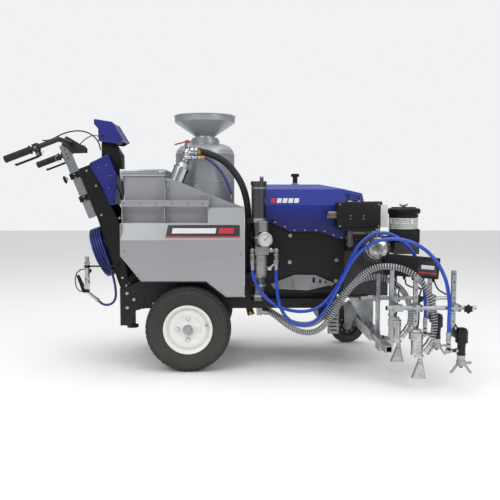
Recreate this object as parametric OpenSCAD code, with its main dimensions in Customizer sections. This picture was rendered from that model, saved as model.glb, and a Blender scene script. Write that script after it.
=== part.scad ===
/* [Wheels] */
// Outer radius of a drive tyre
tyre_r = 203; // [190:1:210]
// Width of a drive tyre
tyre_w = 115; // [95:1:120]
// Radius of the pressed steel rim's lip
rim_r = 116; // [112:1:118]
// Distance from the centre plane to a drive wheel's middle
wheel_y = 322; // [320:1:330]
// Radius of the caster wheel
caster_r = 100; // [90:1:105]
/* [Body] */
// Half the width of the grey body
body_y = 352; // [346:1:356]
// Thickness of the body's sheet metal
sheet = 4; // [3:1:5]
// Radius of the bead tank
tank_r = 150; // [140:1:155]
// Radius of the loading funnel's mouth
funnel_r = 154; // [130:1:160]
/* [Engine] */
// Half the width of the engine hood
hood_y = 240; // [236:1:244]
// Width of the air cleaner's cap
cap_w = 163; // [150:1:168]
/* [Handle] */
// Distance from the centre plane to the middle of a grip
grip_y = 250; // [235:1:265]
/* [Guns] */
// Distance from the centre plane to the near gun bar
near_bar_y = 660; // [655:1:665]
// Distance from the centre plane to the far gun bar
far_bar_y = 380; // [375:1:385]
// Radius of a gun bar
bar_r = 9; // [8:0.5:10]
/* [Hidden] */
$fn = 48;
// Lean of the console column from upright, in degrees
lean = 20;
// The origin is on the floor under the middle of the machine's outline; the axle's middle is drawn from here
shift = [60, 160, 0];
axle = [-244, 0, 203];
axle_r = 12.5;
caster = [650, 285, 0];
caster_trail = 40;
tank_x = -178;
neck = [-298, -200, 942];
pump = [90, -280, 0];
column_y = 120;
fit = 0.05;

// A box from its lowest to its highest corner
module block(low, high) { translate(low) cube(high - low); }
// A round bar along +Y from y0 to y1
module bar_y(x, z, y0, y1, r) { translate([x, y0, z]) rotate([-90, 0, 0]) cylinder(r = r, h = y1 - y0); }
// A round bar along +X from x0 to x1
module bar_x(y, z, x0, x1, r) { translate([x0, y, z]) rotate([0, 90, 0]) cylinder(r = r, h = x1 - x0); }
// An outline in X and Z, given thickness from y0 to y1
module plate(points, y0, y1) { translate([0, y1, 0]) rotate([90, 0, 0]) linear_extrude(y1 - y0) polygon(points); }
// The same piece on both sides of the centre plane
module both() { children(); mirror([0, 1, 0]) children(); }
// A closed tube of radius r swept along a route
function unit(v) = v / norm(v);
function heading(p, i) = unit(p[min(i + 1, len(p) - 1)] - p[max(i - 1, 0)]);
function side(t, s) = unit(cross(t, abs(t * s) > 0.9 ? [1, 0, 0] : s));
function ring(p, i, r, n, s) = let (t = heading(p, i), u = side(t, s), w = cross(t, u))
  [for (k = [0 : n - 1]) p[i] + r * (cos(360 * k / n) * u + sin(360 * k / n) * w)];
module hose(p, r, n = 8, s = [0.1, 1, 0.2]) {
  m = len(p);
  rings = [for (i = [0 : m - 1]) each ring(p, i, r, n, s)];
  walls = [for (i = [0 : m - 2], k = [0 : n - 1]) each
    [[i * n + k, i * n + (k + 1) % n, (i + 1) * n + (k + 1) % n],
     [i * n + k, (i + 1) * n + (k + 1) % n, (i + 1) * n + k]]];
  ends = [for (k = [1 : n - 2]) each [[0, k + 1, k], [(m - 1) * n, (m - 1) * n + k, (m - 1) * n + k + 1]]];
  polyhedron(rings, concat(walls, ends));
}

module at_wheel(far) { mirror([0, far ? 1 : 0, 0]) translate([axle.x, -wheel_y, axle.z]) rotate([90, 0, 0]) children(); }
module tyre() {
  color("#1c1c1e") rotate_extrude($fn = 96) polygon([[106, -44], [118, -47], [150, -tyre_w / 2],
    [178, -tyre_w / 2 + 4], [196, -38], [tyre_r, -14], [tyre_r, 14], [196, 38], [178, tyre_w / 2 - 4],
    [150, tyre_w / 2], [118, 47], [106, 44]]);
}
module rim() {
  color("#d0d0cc") difference() {
    union() {
      rotate_extrude($fn = 96) polygon([[101, -43.5], [105.7, -43.5], [105.7, 43.5], [101, 43.5]]);
      rotate_extrude($fn = 96) polygon([[105.7, 44.5], [rim_r, 48], [rim_r, 52], [101, 48], [101, 40], [105.7, 40]]);
      rotate_extrude($fn = 96) polygon([[20, 20], [60, 24], [85, 34], [102, 34], [102, 30], [85, 30], [60, 20], [20, 14]]);
      cylinder(r = 29.5, h = 80, center = true);
      translate([0, 0, 40]) cylinder(r = 21, h = 14);
      for (a = [45 : 90 : 315]) rotate(a) translate([51, 0, 20]) cylinder(r = 7, h = 14, $fn = 6);
    }
    translate([0, 0, -41]) cylinder(r = axle_r + fit, h = 81);
  }
}
module tyre_near() { at_wheel(false) tyre(); }
module rim_near() { at_wheel(false) rim(); }
module tyre_far() { at_wheel(true) tyre(); }
module rim_far() { at_wheel(true) rim(); }

rail_y0 = 190;
rail_y1 = 240;
module chassis_frame() {
  color("#161618") {
    both() difference() {
      union() {
        block([-520, rail_y0, 284], [500, rail_y1, 330]);
        block([axle.x - 30, rail_y0, axle.z - 30], [axle.x + 30, rail_y1, 285]);
      }
    }
    bar_y(axle.x, axle.z, -wheel_y - 38, wheel_y + 38, axle_r);
    for (x = [413, 479]) block([x, pedal.y - 12, 274], [x + 8, -rail_y1, 296]);
    bar_x(pedal.y, pedal.z, 413, 487, 6);
    for (z = [440, 700]) difference() {
      block([30, -300, z], [62, -rail_y1, z + 24]);
      translate([pump.x, pump.y, z - 5]) cylinder(r = 35, h = 40);
    }
    for (x = [-520, -62, 440]) block([x, -rail_y0, 290], [x + 50, rail_y0, 324]);
    block([27, -rail_y1, 330], [55, -212, 770]);
    block([390, -180, 215], [450, 180, 292]);
    difference() {
      union() {
        block([490, 185, 290], [620, 225, 326]);
        block([caster.x - 45, 200, 290], [caster.x + 45, caster.y + 45, 304]);
        translate([caster.x, caster.y, 290]) cylinder(r = 30, h = 60);
      }
      translate([caster.x, caster.y, 280]) cylinder(r = 12 + fit, h = 90);
    }
  }
}
module frame_panels() {
  color("#141416") {
    both() {
      plate([[-560, 380], [-478, 423], [-455, 427], [-150, 427], [-60, 350], [-60, 332], [-519, 332]],
        240.5, 245.5);
      difference() {
        plate([[-581, 383], [-495, 403], [-472, 366], [-459, 331], [-481, 280], [-513, 272], [-535, 201],
          [-581, 201]], 240.5, 245.5);
        for (p = [[-545, 360], [-512, 330], [-545, 290]]) bar_y(p.x, p.y, 235, 250, 5.2);
      }
    }
    both() block([-455, 245.5, 423], [-150, 347, 427]);
  }
}
module stand_leg() {
  color("#1a1a1c") {
    block([-575, -14, 160], [-547, 14, 330]);
    translate([-561, 0, 146]) cylinder(r = 30, h = 14);
    for (z = [200 : 30 : 320]) bar_y(-561, z, -16, -13.9, 5);
  }
}
module caster_fork() {
  w = [caster.x - caster_trail, caster.y, caster_r];
  color("#55595c") {
    translate([caster.x, caster.y, 222]) cylinder(r = 12, h = 140);
    translate([caster.x, caster.y, 360]) cylinder(r = 18, h = 8);
    translate([caster.x, caster.y, 226]) cylinder(r = 40, h = 10);
    for (s = [-1, 1]) difference() {
      plate([[w.x - 16, 84], [w.x + 16, 84], [caster.x + 30, 226], [w.x - 24, 226]],
        w.y + s * 34 - 3, w.y + s * 34 + 3);
      bar_y(w.x, w.z, w.y - 50, w.y + 50, 8);
    }
    block([w.x - 24, w.y - 37, 218], [caster.x + 30, w.y + 37, 226]);
    bar_y(w.x, w.z, w.y - 42, w.y + 42, 8);
  }
}
module caster_wheel() {
  translate([caster.x - caster_trail, caster.y, caster_r]) rotate([90, 0, 0]) color("#232325") difference() {
    union() {
      rotate_extrude($fn = 72) polygon([[60, -22], [92, -22], [caster_r, -14], [caster_r, 14], [92, 22], [60, 22]]);
      cylinder(r = 61, h = 12, center = true);
      cylinder(r = 22, h = 58, center = true);
    }
    cylinder(r = 8 + fit, h = 70, center = true);
  }
}

cover_rise = atan2(916 - 778, 2 + 337);
module body_shell() {
  skin = [[-558, 623], [-558, 549], [-460, 428], [-159, 428], [-67, 354], [22, 354], [22, 623]];
  color("#a6a9af") difference() {
    union() {
      both() {
        plate(skin, body_y - sheet, body_y);
        translate([-558, 0, 0]) rotate([90, 0, 90]) linear_extrude(580)
          polygon([[body_y - sheet, 623], [body_y, 623], [320, 702], [315, 702]]);
        translate([-150, 0, 0]) rotate([90, 0, 90]) linear_extrude(172)
          polygon([[315, 702], [320, 702], [290, 774], [285, 774]]);
        block([-558, 247, 698], [-150, 318, 702]);
        plate([[-558, 702], [-150, 702], [-150, 770], [22, 770], [2, 778], [-337, 916], [-357, 916], [-357, 780],
          [-558, 780]], 247, 251);
        block([-150, 247, 770], [22, 288, 774]);
        for (x = [-558, -358, -152]) plate([[x, 700], [x + 4, 700], [x + 4, 808], [x, 808]], 250, 300);
        plate([[-358, 808], [-354, 808], [-354, 912], [-358, 912]], 247, 285);
        plate([[-152, 808], [-148, 808], [-148, 838], [-152, 838]], 247, 285);
        block([-560, 288, 780], [-147, 306, 808]);
      }
      plate([[18, 354], [22, 354], [22, 770], [18, 770]], -body_y + 60, body_y - 60);
      plate([[-558, 549], [-554, 549], [-554, 702], [-558, 702]], -body_y + 2, body_y - 2);
      plate([[-558, 549], [-554, 549], [-456, 428], [-460, 428]], -body_y + 2, body_y - 2);
      plate([[-337, 916], [2, 778], [2, 774], [-337, 912]], -248, 248);
      plate([[-357, 916], [-337, 916], [-337, 912], [-357, 912]], -248, 248);
      plate([[2, 778], [22, 770], [22, 766], [2, 774]], -248, 248);
    }
    translate([tank_x, 0, 400]) cylinder(r = tank_r + 4, h = 600);
  }
}
module hopper() {
  color("#9fa2a8") difference() {
    block([-553, -246, 560], [-361, 246, 923]);
    block([-549, -242, 564], [-365, 242, 930]);
  }
}
module hopper_lid() {
  color("#b9bdc2") {
    difference() {
      block([-571, -256, 924], [-359, 256, 956]);
      block([-568, -253, 920], [-362, 253, 952]);
    }
    bar_y(-357, 928, -240, 240, 4);
  }
}
module bead_tank() {
  t = 5;
  color("#a9adb3") translate([tank_x, 0, 0]) rotate_extrude($fn = 96) difference() {
    polygon([[0, 500], [90, 510], [tank_r, 560], [tank_r, 1040], [tank_r - 6, 1062], [tank_r - 24, 1082],
      [tank_r - 50, 1092], [73, 1095], [73, 1116], [67, 1116], [67, 1122], [0, 1122]]);
    polygon([[0, 505], [88, 515], [tank_r - t, 563], [tank_r - t, 1039], [tank_r - 12, 1058],
      [tank_r - 28, 1076], [tank_r - 54, 1086], [0, 1090]]);
  }
  color("#a9adb3") {
    translate([tank_x, 0, 339]) cylinder(r = 14, h = 163);
    bar_x(0, 339, tank_x, 97, 14);
    translate([97, 0, 262]) cylinder(r = 14, h = 77);
    bar_y(97, 262, -111, 0, 14);
    block([84, -215, 244], [110, -110, 280]);
  }
}
module tank_funnel() {
  r = funnel_r;
  color("#aeb6bd") translate([tank_x, 0, 0]) rotate_extrude($fn = 96) polygon([[46, 1122.3], [66, 1122.3],
    [66, 1126], [50, 1126], [50, 1134], [r, 1205], [r, 1234], [r - 3, 1234], [r - 3, 1207], [46, 1136]]);
}
module on_neck() {
  translate([-337 + 35 * cos(cover_rise), neck.y, 916 - 35 * sin(cover_rise)])
    rotate([0, cover_rise, 0]) children();
}
module neck_valve() {
  color("#a9adb0") {
    on_neck() {
      cylinder(r = 39, h = 62);
      translate([0, 0, 62]) cylinder(r = 42, h = 5);
      translate([0, 0, 67]) cylinder(r = 25, h = 24, $fn = 8);
      translate([0, 0, 90]) cylinder(r = 19, h = 40);
    }
    translate([-252, neck.y, 1036]) sphere(r = 25);
    bar_x(neck.y, 1042, -252, -212, 20);
    bar_x(neck.y, 1042, -212, -206, 23);
    translate([-252, neck.y, 1050]) cylinder(r = 13, h = 36);
    bar_x(neck.y - 34, 1012, -262, -222, 9);
    bar_y(-255, 1012, neck.y - 36, neck.y - 10, 9);
    bar_x(neck.y - 34, 1012, -222, -190, 6);
  }
}
module valve_handle() {
  color("#a3161d") {
    translate([-252, neck.y, 1087]) cylinder(r = 15, h = 8);
    translate([-252, neck.y, 1090]) rotate([0, 14, 180]) translate([0, -9, 0]) cube([64, 18, 5]);
  }
}
module pump_cylinder() {
  color("#8c8f92") {
    translate([pump.x, pump.y, 331]) cylinder(r = 34.5, h = 567);
    for (z = [331, 610, 880]) translate([pump.x, pump.y, z]) cylinder(r = 38, h = 18);
    translate([pump.x + 14, pump.y, 898]) cylinder(r = 9, h = 14);
  }
}
gauge = [117, -362, 626];
filter_y = -345;
module filter_manifold() {
  color("#b4b6b6") {
    block([72, -376, 556], [134, -315, 592]);
    bar_x(filter_y, 573, 54, 174, 8);
    for (x = [60, 170]) {
      translate([x, filter_y, 573]) sphere(r = 13);
      translate([x, filter_y, 513]) cylinder(r = 9, h = 58);
      translate([x, filter_y, 528]) cylinder(r = 12, h = 22, $fn = 6);
    }
    translate([100, filter_y, 457]) cylinder(r = 27, h = 99);
    translate([108, -340, 592]) cylinder(r = 10, h = 70);
    translate([108, -340, 662]) cylinder(r = 25, h = 50);
    bar_x(filter_y, 490, 126, 150, 9);
  }
}
module pressure_gauge() {
  color("#c9ccce") difference() {
    bar_y(gauge.x, gauge.z, gauge.y - 22, gauge.y + 8, 33.5);
    bar_y(gauge.x, gauge.z, gauge.y - 23, gauge.y - 14, 30.5);
  }
}
module gauge_needle() {
  color("#101010") {
    bar_y(gauge.x, gauge.z, gauge.y - 18, gauge.y - 14.3, 3.5);
    translate([gauge.x, gauge.y - 17, gauge.z]) rotate([0, 45, 0]) translate([-1.2, 0, -6]) cube([2.4, 1.5, 30]);
  }
}
module drain_lever() {
  color("#c4c6c4") {
    bar_y(139, 490, -370, -354.3, 8);
    translate([139, -368, 490]) rotate([0, -38, 0]) translate([-4, 0, 0]) cube([38, 5, 8]);
  }
}
module hood_shape(inset) {
  y = hood_y - inset;
  intersection() {
    plate([[115 + inset, 715], [115 + inset, 800], [135 + inset, 886 - inset], [392, 886 - inset],
      [496, 866 - inset], [596, 842 - inset], [601, 805], [601, 700], [512, 640], [505, 612], [471, 620],
      [388, 653], [240, 655]], -hood_y, hood_y);
    translate([100, 0, 0]) rotate([90, 0, 90]) linear_extrude(520) polygon([[-y, 600], [-y, 785], [-y + 38, 862],
      [-y + 62, 886 - inset], [y - 62, 886 - inset], [y - 38, 862], [y, 785], [y, 600]]);
  }
}
module engine_hood() {
  color("#27338f") difference() {
    hood_shape(0);
    difference() {
      hood_shape(3);
      block([100, -300, 500], [118, 300, 900]);
    }
    block([118, -hood_y + 3, 500], [700, hood_y - 3, 700]);
    for (i = [0 : 3]) plate([[512 + 2 * i, 842 - 11 * i], [584, 827 - 10 * i], [584, 822 - 10 * i],
      [512 + 2 * i, 837 - 11 * i]], -300, 300);
  }
}
module side_panel() {
  color("#18181a") {
    both() plate([[127, 358], [505, 358], [505, 606], [471, 614], [388, 648], [240, 650], [127, 706]], 236, 240);
    block([127, -236, 358], [131, 236, 700]);
    block([131, -236, 358], [505, 236, 362]);
    both() block([131, 196, 331], [480, 200, 358]);
  }
}
module cover_bolts() {
  color("#c7c9cb") {
    both() {
      for (p = [[244, 638], [242, 509], [470, 518], [467, 417]]) {
        bar_y(p.x, p.y, 240, 242, 9);
        translate([p.x, 242, p.y]) rotate([-90, 0, 0]) cylinder(r = 6, h = 4, $fn = 6);
      }
      for (p = [[171, 704], [218, 682], [265, 664], [316, 664], [369, 664], [411, 660], [454, 640], [492, 628]])
        bar_y(p.x, p.y, hood_y, hood_y + 3, 4);
    }
    both() for (p = [[-545, 360], [-512, 330], [-545, 290]]) bar_y(p.x, p.y, 245.5, 251, 8);
  }
}
module breather_cap() {
  color("#1b1b1d") {
    translate([278, -100, 886.5]) cylinder(r = 12, h = 40);
    translate([278, -100, 926]) cylinder(r = 19, h = 15, $fn = 24);
  }
}
module engine_block() {
  color("#77787b") {
    block([520, -160, 332], [740, 160, 560]);
    block([560, -150, 560], [700, 110, 640]);
    bar_y(673, 573, -206, -150, 70);
    bar_y(673, 573, -218, -206, 46);
    bar_y(673, 573, 150, 226, 95);
    block([760, -215, 545], [880, -85, 667]);
    block([700, -130, 590], [760, -100, 630]);
    block([505, -185, 326], [640, 185, 332]);
  }
}
module muffler() {
  color("#151517") {
    block([459, -330, 676], [664, -244, 800]);
    for (i = [0 : 8]) block([500 + 16 * i, -322, 800], [508 + 16 * i, -252, 803]);
    difference() {
      bar_x(-290, 737, 426, 459, 20);
      bar_x(-290, 737, 420, 455, 17);
    }
    bar_y(526, 600, -294, -150, 14);
    translate([526, -280, 600]) cylinder(r = 14, h = 76);
    block([520, -200, 560], [560, -150, 614]);
  }
}
module fuel_tank() {
  color("#d8d8d2") {
    block([672, -190, 676], [728, 60, 786]);
    block([660, -150, 641], [700, 40, 676]);
    translate([700, -60, 786]) cylinder(r = 26, h = 14);
  }
}
filter_x = 815;
module air_bowl() {
  color("#d9dcd8") translate([filter_x, -150, 0]) difference() {
    translate([0, 0, 667.3]) cylinder(r = 72, h = 54);
    translate([0, 0, 671]) cylinder(r = 69, h = 60);
  }
}
module air_cap() {
  color("#141414") translate([filter_x, -150, 0]) {
    translate([0, 0, 722]) cylinder(r = cap_w / 2 - 6, h = 20);
    translate([0, 0, 742]) cylinder(r = cap_w / 2, h = 26);
    translate([0, 0, 768]) cylinder(r = 60, h = 7);
    translate([0, 0, 775]) cylinder(r = 7, h = 8);
    translate([-16, -2, 779]) cube([32, 4, 8]);
  }
}
module footboard() {
  color("#8e9093") {
    difference() {
      plate([[150, 404], [266, 449], [367, 447], [463, 404], [330, 373], [167, 381]], -256, -251);
      block([352, -260, 410], [364, -250, 436]);
      block([384, -260, 408], [394, -250, 426]);
      bar_y(416, 414, -260, -250, 6);
    }
    plate([[262, 385], [272, 385], [258, 425], [254, 425]], -268, -256);
    for (x = [180, 430]) block([x, -251, 398], [x + 14, -240, 412]);
  }
}
pedal = [450, -285, 285];
module foot_pedal() {
  color("#b3b4b0") difference() {
    union() {
      block([423, pedal.y - 2, 166], [477, pedal.y + 1, 276]);
      bar_x(pedal.y, pedal.z, 423, 477, 11);
    }
    bar_x(pedal.y, pedal.z, 420, 480, 6 + fit);
    for (i = [0 : 4]) block([433, pedal.y - 10, 180 + 18 * i], [467, pedal.y + 10, 187 + 18 * i]);
  }
}
module control_box() {
  color("#151518") {
    translate([783, -450, 509]) rotate([0, 5, 0]) translate([-121, -20, -48]) cube([242, 40, 96]);
    block([700, -430.5, 500], [720, -206, 516]);
    block([700, -226, 516], [720, -206, 530]);
  }
}
arm = [640, -300, 170];
module arm_sleeve() {
  color("#a7adb1") {
    difference() {
      union() {
        block([arm.x - 25, -350, arm.z - 25], [arm.x + 25, 60, arm.z + 25]);
        for (y = [-180, 0]) block([arm.x - 25, y, arm.z + 25], [arm.x + 25, y + 10, 326]);
        plate([[arm.x - 20, 190], [arm.x - 20, 326], [540, 326]], -179, -171);
      }
      block([arm.x - 15.2, -360, arm.z - 15.2], [arm.x + 15.2, 70, arm.z + 15.2]);
    }
  }
}
module gun_arm() {
  color("#b6bcc0") {
    difference() {
      block([arm.x - 15, -640, arm.z - 15], [arm.x + 15, -150, arm.z + 15]);
      block([arm.x - 11, -650, arm.z - 11], [arm.x + 11, -140, arm.z + 11]);
    }
    difference() {
      block([arm.x - 26, -560, arm.z - 26], [arm.x + 26, -480, arm.z + 26]);
      block([arm.x - 15, -570, arm.z - 15], [arm.x + 15, -470, arm.z + 15]);
    }
    block([arm.x - 9, -410, 185], [arm.x + 9, -392, 470]);
    block([arm.x + 26, -528, 160], [arm.x + 44, -510, 500]);
    block([arm.x + 26, -640, 344], [arm.x + 44, -528, 362]);
  }
}
bar_z = 353;
module gun_bars() {
  color("#c3c8cb") {
    bar_x(-near_bar_y, bar_z, 621, 981, bar_r);
    bar_x(-near_bar_y, bar_z, 975, 1005, 8.5);
    bar_x(-far_bar_y, bar_z, 560, 980, bar_r);
  }
}
// Posts that carry the guns: place along the rack, side, lowest and highest point
posts = [[915, -near_bar_y, 226, 509], [752, -near_bar_y, 262, 486], [895, -far_bar_y, 250, 440],
  [727, -far_bar_y, 262, 440]];
module gun_posts() {
  color("#aeb4b8") {
    for (p = posts) {
      block([p.x - 9, p.y + 20, p[2]], [p.x + 9, p.y + 36, p[3]]);
      difference() {
        block([p.x - 20, p.y - 14, bar_z - 14], [p.x + 20, p.y + 20, bar_z + 14]);
        bar_x(p.y, bar_z, p.x - 30, p.x + 30, bar_r + 0.02);
      }
      difference() {
        block([p.x - 20, p.y + 20, bar_z - 14], [p.x + 20, p.y + 44, bar_z + 14]);
        block([p.x - 9, p.y + 20, bar_z - 20], [p.x + 9, p.y + 36, bar_z + 20]);
      }
    }
    difference() {
      block([650, -near_bar_y - 14, bar_z - 14], [690, -near_bar_y + 19.5, bar_z + 14]);
      bar_x(-near_bar_y, bar_z, 640, 700, bar_r + 0.02);
    }
    difference() {
      block([625, -far_bar_y - 11.5, bar_z - 14], [655, -far_bar_y + 14, bar_z + 14]);
      bar_x(-far_bar_y, bar_z, 620, 660, bar_r + 0.02);
    }
  }
}
near_gun = [945, -660, 0];
far_gun = [925, -380, 12];
module paint_gun() {
  block([-32, -8, 226], [-14, 19.8, 258]);
  translate([0, 0, 205]) cylinder(r = 26, h = 50);
  translate([0, 0, 255]) cylinder(r = 22, h = 8);
  translate([0, 0, 150]) cylinder(r = 17, h = 56);
  translate([0, 0, 130]) cylinder(r = 15, h = 20, $fn = 6);
  translate([0, 0, 96]) cylinder(r = 8, h = 34);
  bar_x(-12, 172, -62, -8, 7);
  translate([-62, -16, 172]) sphere(r = 12);
  translate([-62, -20, 172]) cylinder(r = 8, h = 50);
}
module paint_guns() {
  color("#1a1a1c") {
    translate(near_gun) paint_gun();
    translate(far_gun) paint_gun();
  }
}
module tip_guard() {
  color("#c9ccca") {
    difference() {
      union() {
        translate([0, 0, 104]) cylinder(r = 19, h = 24);
        bar_x(0, 116, 18, 34, 5);
      }
      translate([0, 0, 95]) cylinder(r = 8 + fit, h = 40);
    }
    for (s = [-1, 1]) plate([[s * 14, 104], [s * 19, 104], [s * 42, 72], [s * 36, 72]], -4, 4);
  }
}
module tip_guard_near() { translate(near_gun) tip_guard(); }
module tip_guard_far() { translate(far_gun) tip_guard(); }
module bead_gun() {
  translate([0, 8, 218]) cylinder(r = 30, h = 30);
  translate([0, 8, 248]) cylinder(r = 22, h = 12);
  block([-10, 4, 226], [10, 19.8, 261]);
  translate([4, 8, 150]) cylinder(r = 24, h = 68);
  translate([14, 8, 140]) cylinder(r = 20, h = 10);
  translate([20, 8, 118]) cylinder(r = 9, h = 22);
  translate([0, -22, 0]) plate([[-16, 50], [44, 46], [29, 118], [11, 118]], 22, 38);
  translate([30, 8, 165]) rotate([0, 40, 0]) cylinder(r = 16, h = 33);
}
module bead_guns() {
  color("#bfbfb8") {
    translate([752, -near_bar_y, 0]) bead_gun();
    translate([727, -far_bar_y, 2]) bead_gun();
  }
}
module star_knob() {
  difference() {
    cylinder(r = 20, h = 14);
    for (a = [0 : 60 : 300]) rotate(a) translate([22, 0, -1]) cylinder(r = 6, h = 16);
  }
  translate([0, 0, -8]) cylinder(r = 8, h = 8);
}
module knob_near() { color("#111113") translate([960, -near_bar_y - 16.5, bar_z]) rotate([90, 0, 0]) translate([0, 0, 8]) star_knob(); }
module knob_far() { color("#111113") translate([830, -far_bar_y - 16.5, bar_z]) rotate([90, 0, 0]) translate([0, 0, 8]) star_knob(); }

module console_column() {
  color("#151517") {
    both() plate([[-799, 964], [-747, 984], [-611, 715], [-563, 404], [-552, 345], [-590, 345], [-611, 404],
      [-706, 715]], column_y - 6, column_y);
    block([-578, -240.3, 348], [-560, 240.3, 372]);
    plate([[-775, 960], [-765, 964], [-660, 715], [-590, 404], [-600, 404], [-670, 715]], -column_y + 6, column_y - 6);
    on_stem() for (z = [90, 215]) difference() {
      translate([-27, -27, z]) cube([62, 54, 30]);
      translate([-20.1, -20.1, z - 5]) cube([40.2, 40.2, 40]);
      translate([-30, 0, z + 15]) rotate([0, 90, 0]) cylinder(r = 5 + fit, h = 12);
    }
    on_stem() for (z = [90, 215]) translate([35, -column_y + 6, z + 5]) cube([24, 2 * column_y - 12, 12]);
    plate([[-700, 1009], [-700, 1095], [-683, 1148], [-660, 1128], [-628, 1085], [-600, 1040], [-600, 930],
      [-615, 930], [-655, 1032]], -45, 45);
    bar_y(-683, 1128, -98, 98, 6);
    bar_y(-762, 966, -118, 118, 8);
    plate([[-770, 958], [-756, 958], [-745, 990], [-698, 1014], [-698, 1028], [-760, 998]], -45, 45);
  }
}
module on_stem() { translate([-758, 0, 722]) rotate([0, -21.5, 0]) children(); }
module console_cover() {
  color("#222c86") plate([[-742, 986], [-655, 1032], [-615, 930], [-627, 788], [-643, 788], [-686, 885]], -128, 128);
}
module display_hood() {
  color("#1d2783") difference() {
    plate([[-723, 1210], [-635, 1196], [-583, 1109], [-612, 1093], [-704, 1105], [-697, 1154], [-723, 1186]], -95, 95);
    plate([[-718, 1205], [-638, 1191], [-589, 1110], [-600, 1080], [-720, 1080], [-702, 1154], [-718, 1180]], -91, 91);
    bar_y(-683, 1128, -100, 100, 6 + fit);
  }
}
module handle_stem() {
  color("#a9aeb2") on_stem() difference() {
    translate([-20, -20, 0]) cube([40, 40, 395]);
    translate([-17, -17, -5]) cube([34, 34, 380]);
  }
}
grip_slope = 20.7;
bend = [-860, 0, 1098];
lever_x = -33;
module on_grip(s) { translate([bend.x, s * grip_y, bend.z]) rotate([0, -90 - grip_slope, 0]) children(); }
module handlebar() {
  color("#3a3836") {
    bar_y(bend.x, bend.z, -grip_y, grip_y, 12);
    for (s = [-1, 1]) {
      translate([bend.x, s * grip_y, bend.z]) sphere(r = 12);
      on_grip(s) {
        cylinder(r = 12, h = 272);
        translate([-18, -18, 100]) cube([36, 36, 26]);
        for (y = [-18, 13]) translate([-42, y, 104]) cube([25, 5, 18]);
        translate([lever_x, 16, 113]) rotate([90, 0, 0]) cylinder(r = 4, h = 32);
      }
      plate([[-909, 1090], [-885, 1135], [-787, 1076], [-787, 1052], [-850, 1050]], s * 22.5 - 2, s * 22.5 + 2);
    }
  }
}
module grips() {
  color("#1b1b1c") for (s = [-1, 1]) on_grip(s) difference() {
    translate([0, 0, 140]) cylinder(r = 18, h = 135);
    translate([0, 0, 100]) cylinder(r = 12.2, h = 172.5);
  }
}
module lever(s) {
  color("#17171a") on_grip(s) difference() {
    union() {
      translate([lever_x, 12, 113]) rotate([90, 0, 0]) cylinder(r = 7.5, h = 24);
      translate([lever_x - 12, -7, 113]) cube([7, 14, 122]);
    }
    translate([lever_x, 20, 113]) rotate([90, 0, 0]) cylinder(r = 4 + fit, h = 40);
  }
}
module brake_lever() { lever(-1); }
module throttle_lever() { lever(1); }
module stem_knob() {
  color("#111113") on_stem() translate([-20.3, 0, 230]) rotate([0, -90, 0]) {
    cylinder(r = 5, h = 30);
    translate([0, 0, 34]) star_knob();
  }
}
coil_at = [-700, 0, 545];
module hose_coil() {
  color("#222c80") translate(coil_at) rotate([0, 90 - lean, 0]) rotate_extrude($fn = 72)
    polygon([[100, -32], [132, -32], [140, -24], [140, 24], [132, 32], [100, 32], [94, 24], [94, -24]]);
}
gun_at = [-770, -165, 0];
module spray_gun() {
  color("#9a9c9c") translate(gun_at) {
    translate([14, 0, 400]) cylinder(r = 11, h = 104);
    difference() {
      plate([[-6, 350], [20, 350], [27, 400], [2, 400]], -12, 12);
      bar_y(2, 362, -20, 20, 4 + fit);
    }
    translate([10, 0, 358]) rotate([0, 130, 0]) cylinder(r = 8, h = 70);
    translate([14, 0, 504]) cylinder(r = 7, h = 26);
    bar_y(14, 455, 5, 51, 5);
  }
}
module spray_trigger() {
  color("#2a2a2c") translate(gun_at) {
    bar_y(2, 362, -17, 17, 4);
    for (y = [-17, 13]) plate([[-8, 356], [6, 356], [4, 368], [-30, 440], [-36, 438]], y, y + 4);
  }
}
// Routes of the hoses, each from its first fitting to its last
suction_route = [[-205.5, -200, 1042], [-182, -200, 1042], [-146, -198, 1032], [-112, -195, 1018], [-80, -192, 1000],
  [-50, -188, 974], [-22, -184, 940], [2, -180, 902], [20, -176, 860], [32, -173, 815], [39, -171, 770],
  [41, -170, 720], [41, -170, 640], [41, -170, 560], [41, -170, 480], [41, -170, 400], [41, -170, 340],
  [43, -170, 300], [48, -170, 268], [56, -170, 240]];
air_route = [[-189.5, -234, 1012], [-168, -234, 1012], [-135, -232, 992], [-105, -229, 966], [-80, -225, 930],
  [-60, -220, 890], [-45, -214, 850], [-38, -208, 815]];
far_paint_route = [[60, -345, 512.5], [60, -345, 485], [63, -345, 455], [74, -345, 422], [92, -344, 390],
  [115, -342, 360], [145, -340, 332], [180, -338, 309], [220, -336, 294], [262, -336, 285], [305, -336, 284],
  [345, -337, 292], [380, -339, 310], [412, -342, 340], [440, -346, 376], [464, -350, 416], [486, -354, 460],
  [506, -364, 508], [526, -372, 555], [552, -380, 600], [588, -386, 636], [632, -390, 656], [680, -392, 656],
  [724, -392, 640], [764, -392, 610], [798, -390, 572], [826, -388, 525], [844, -390, 470], [855, -394, 410],
  [861, -398, 345], [863, -400, 290], [863, -400, 258], [863, -400, 234.5]];
near_paint_route = [[170, -345, 512.5], [170, -345, 480], [171, -347, 440], [174, -350, 400], [180, -354, 352],
  [191, -358, 308], [210, -361, 272], [237, -364, 245], [270, -366, 229], [306, -368, 226], [342, -370, 238],
  [374, -374, 264], [402, -380, 302], [428, -390, 350], [452, -404, 402], [476, -420, 456], [502, -438, 514],
  [534, -462, 566], [574, -490, 606], [622, -520, 632], [674, -550, 640], [724, -578, 634], [770, -604, 614],
  [812, -626, 580], [846, -642, 534], [868, -662, 480], [880, -672, 420], [884, -679, 360], [883, -680, 300],
  [883, -680, 256], [883, -680, 222.5]];
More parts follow.
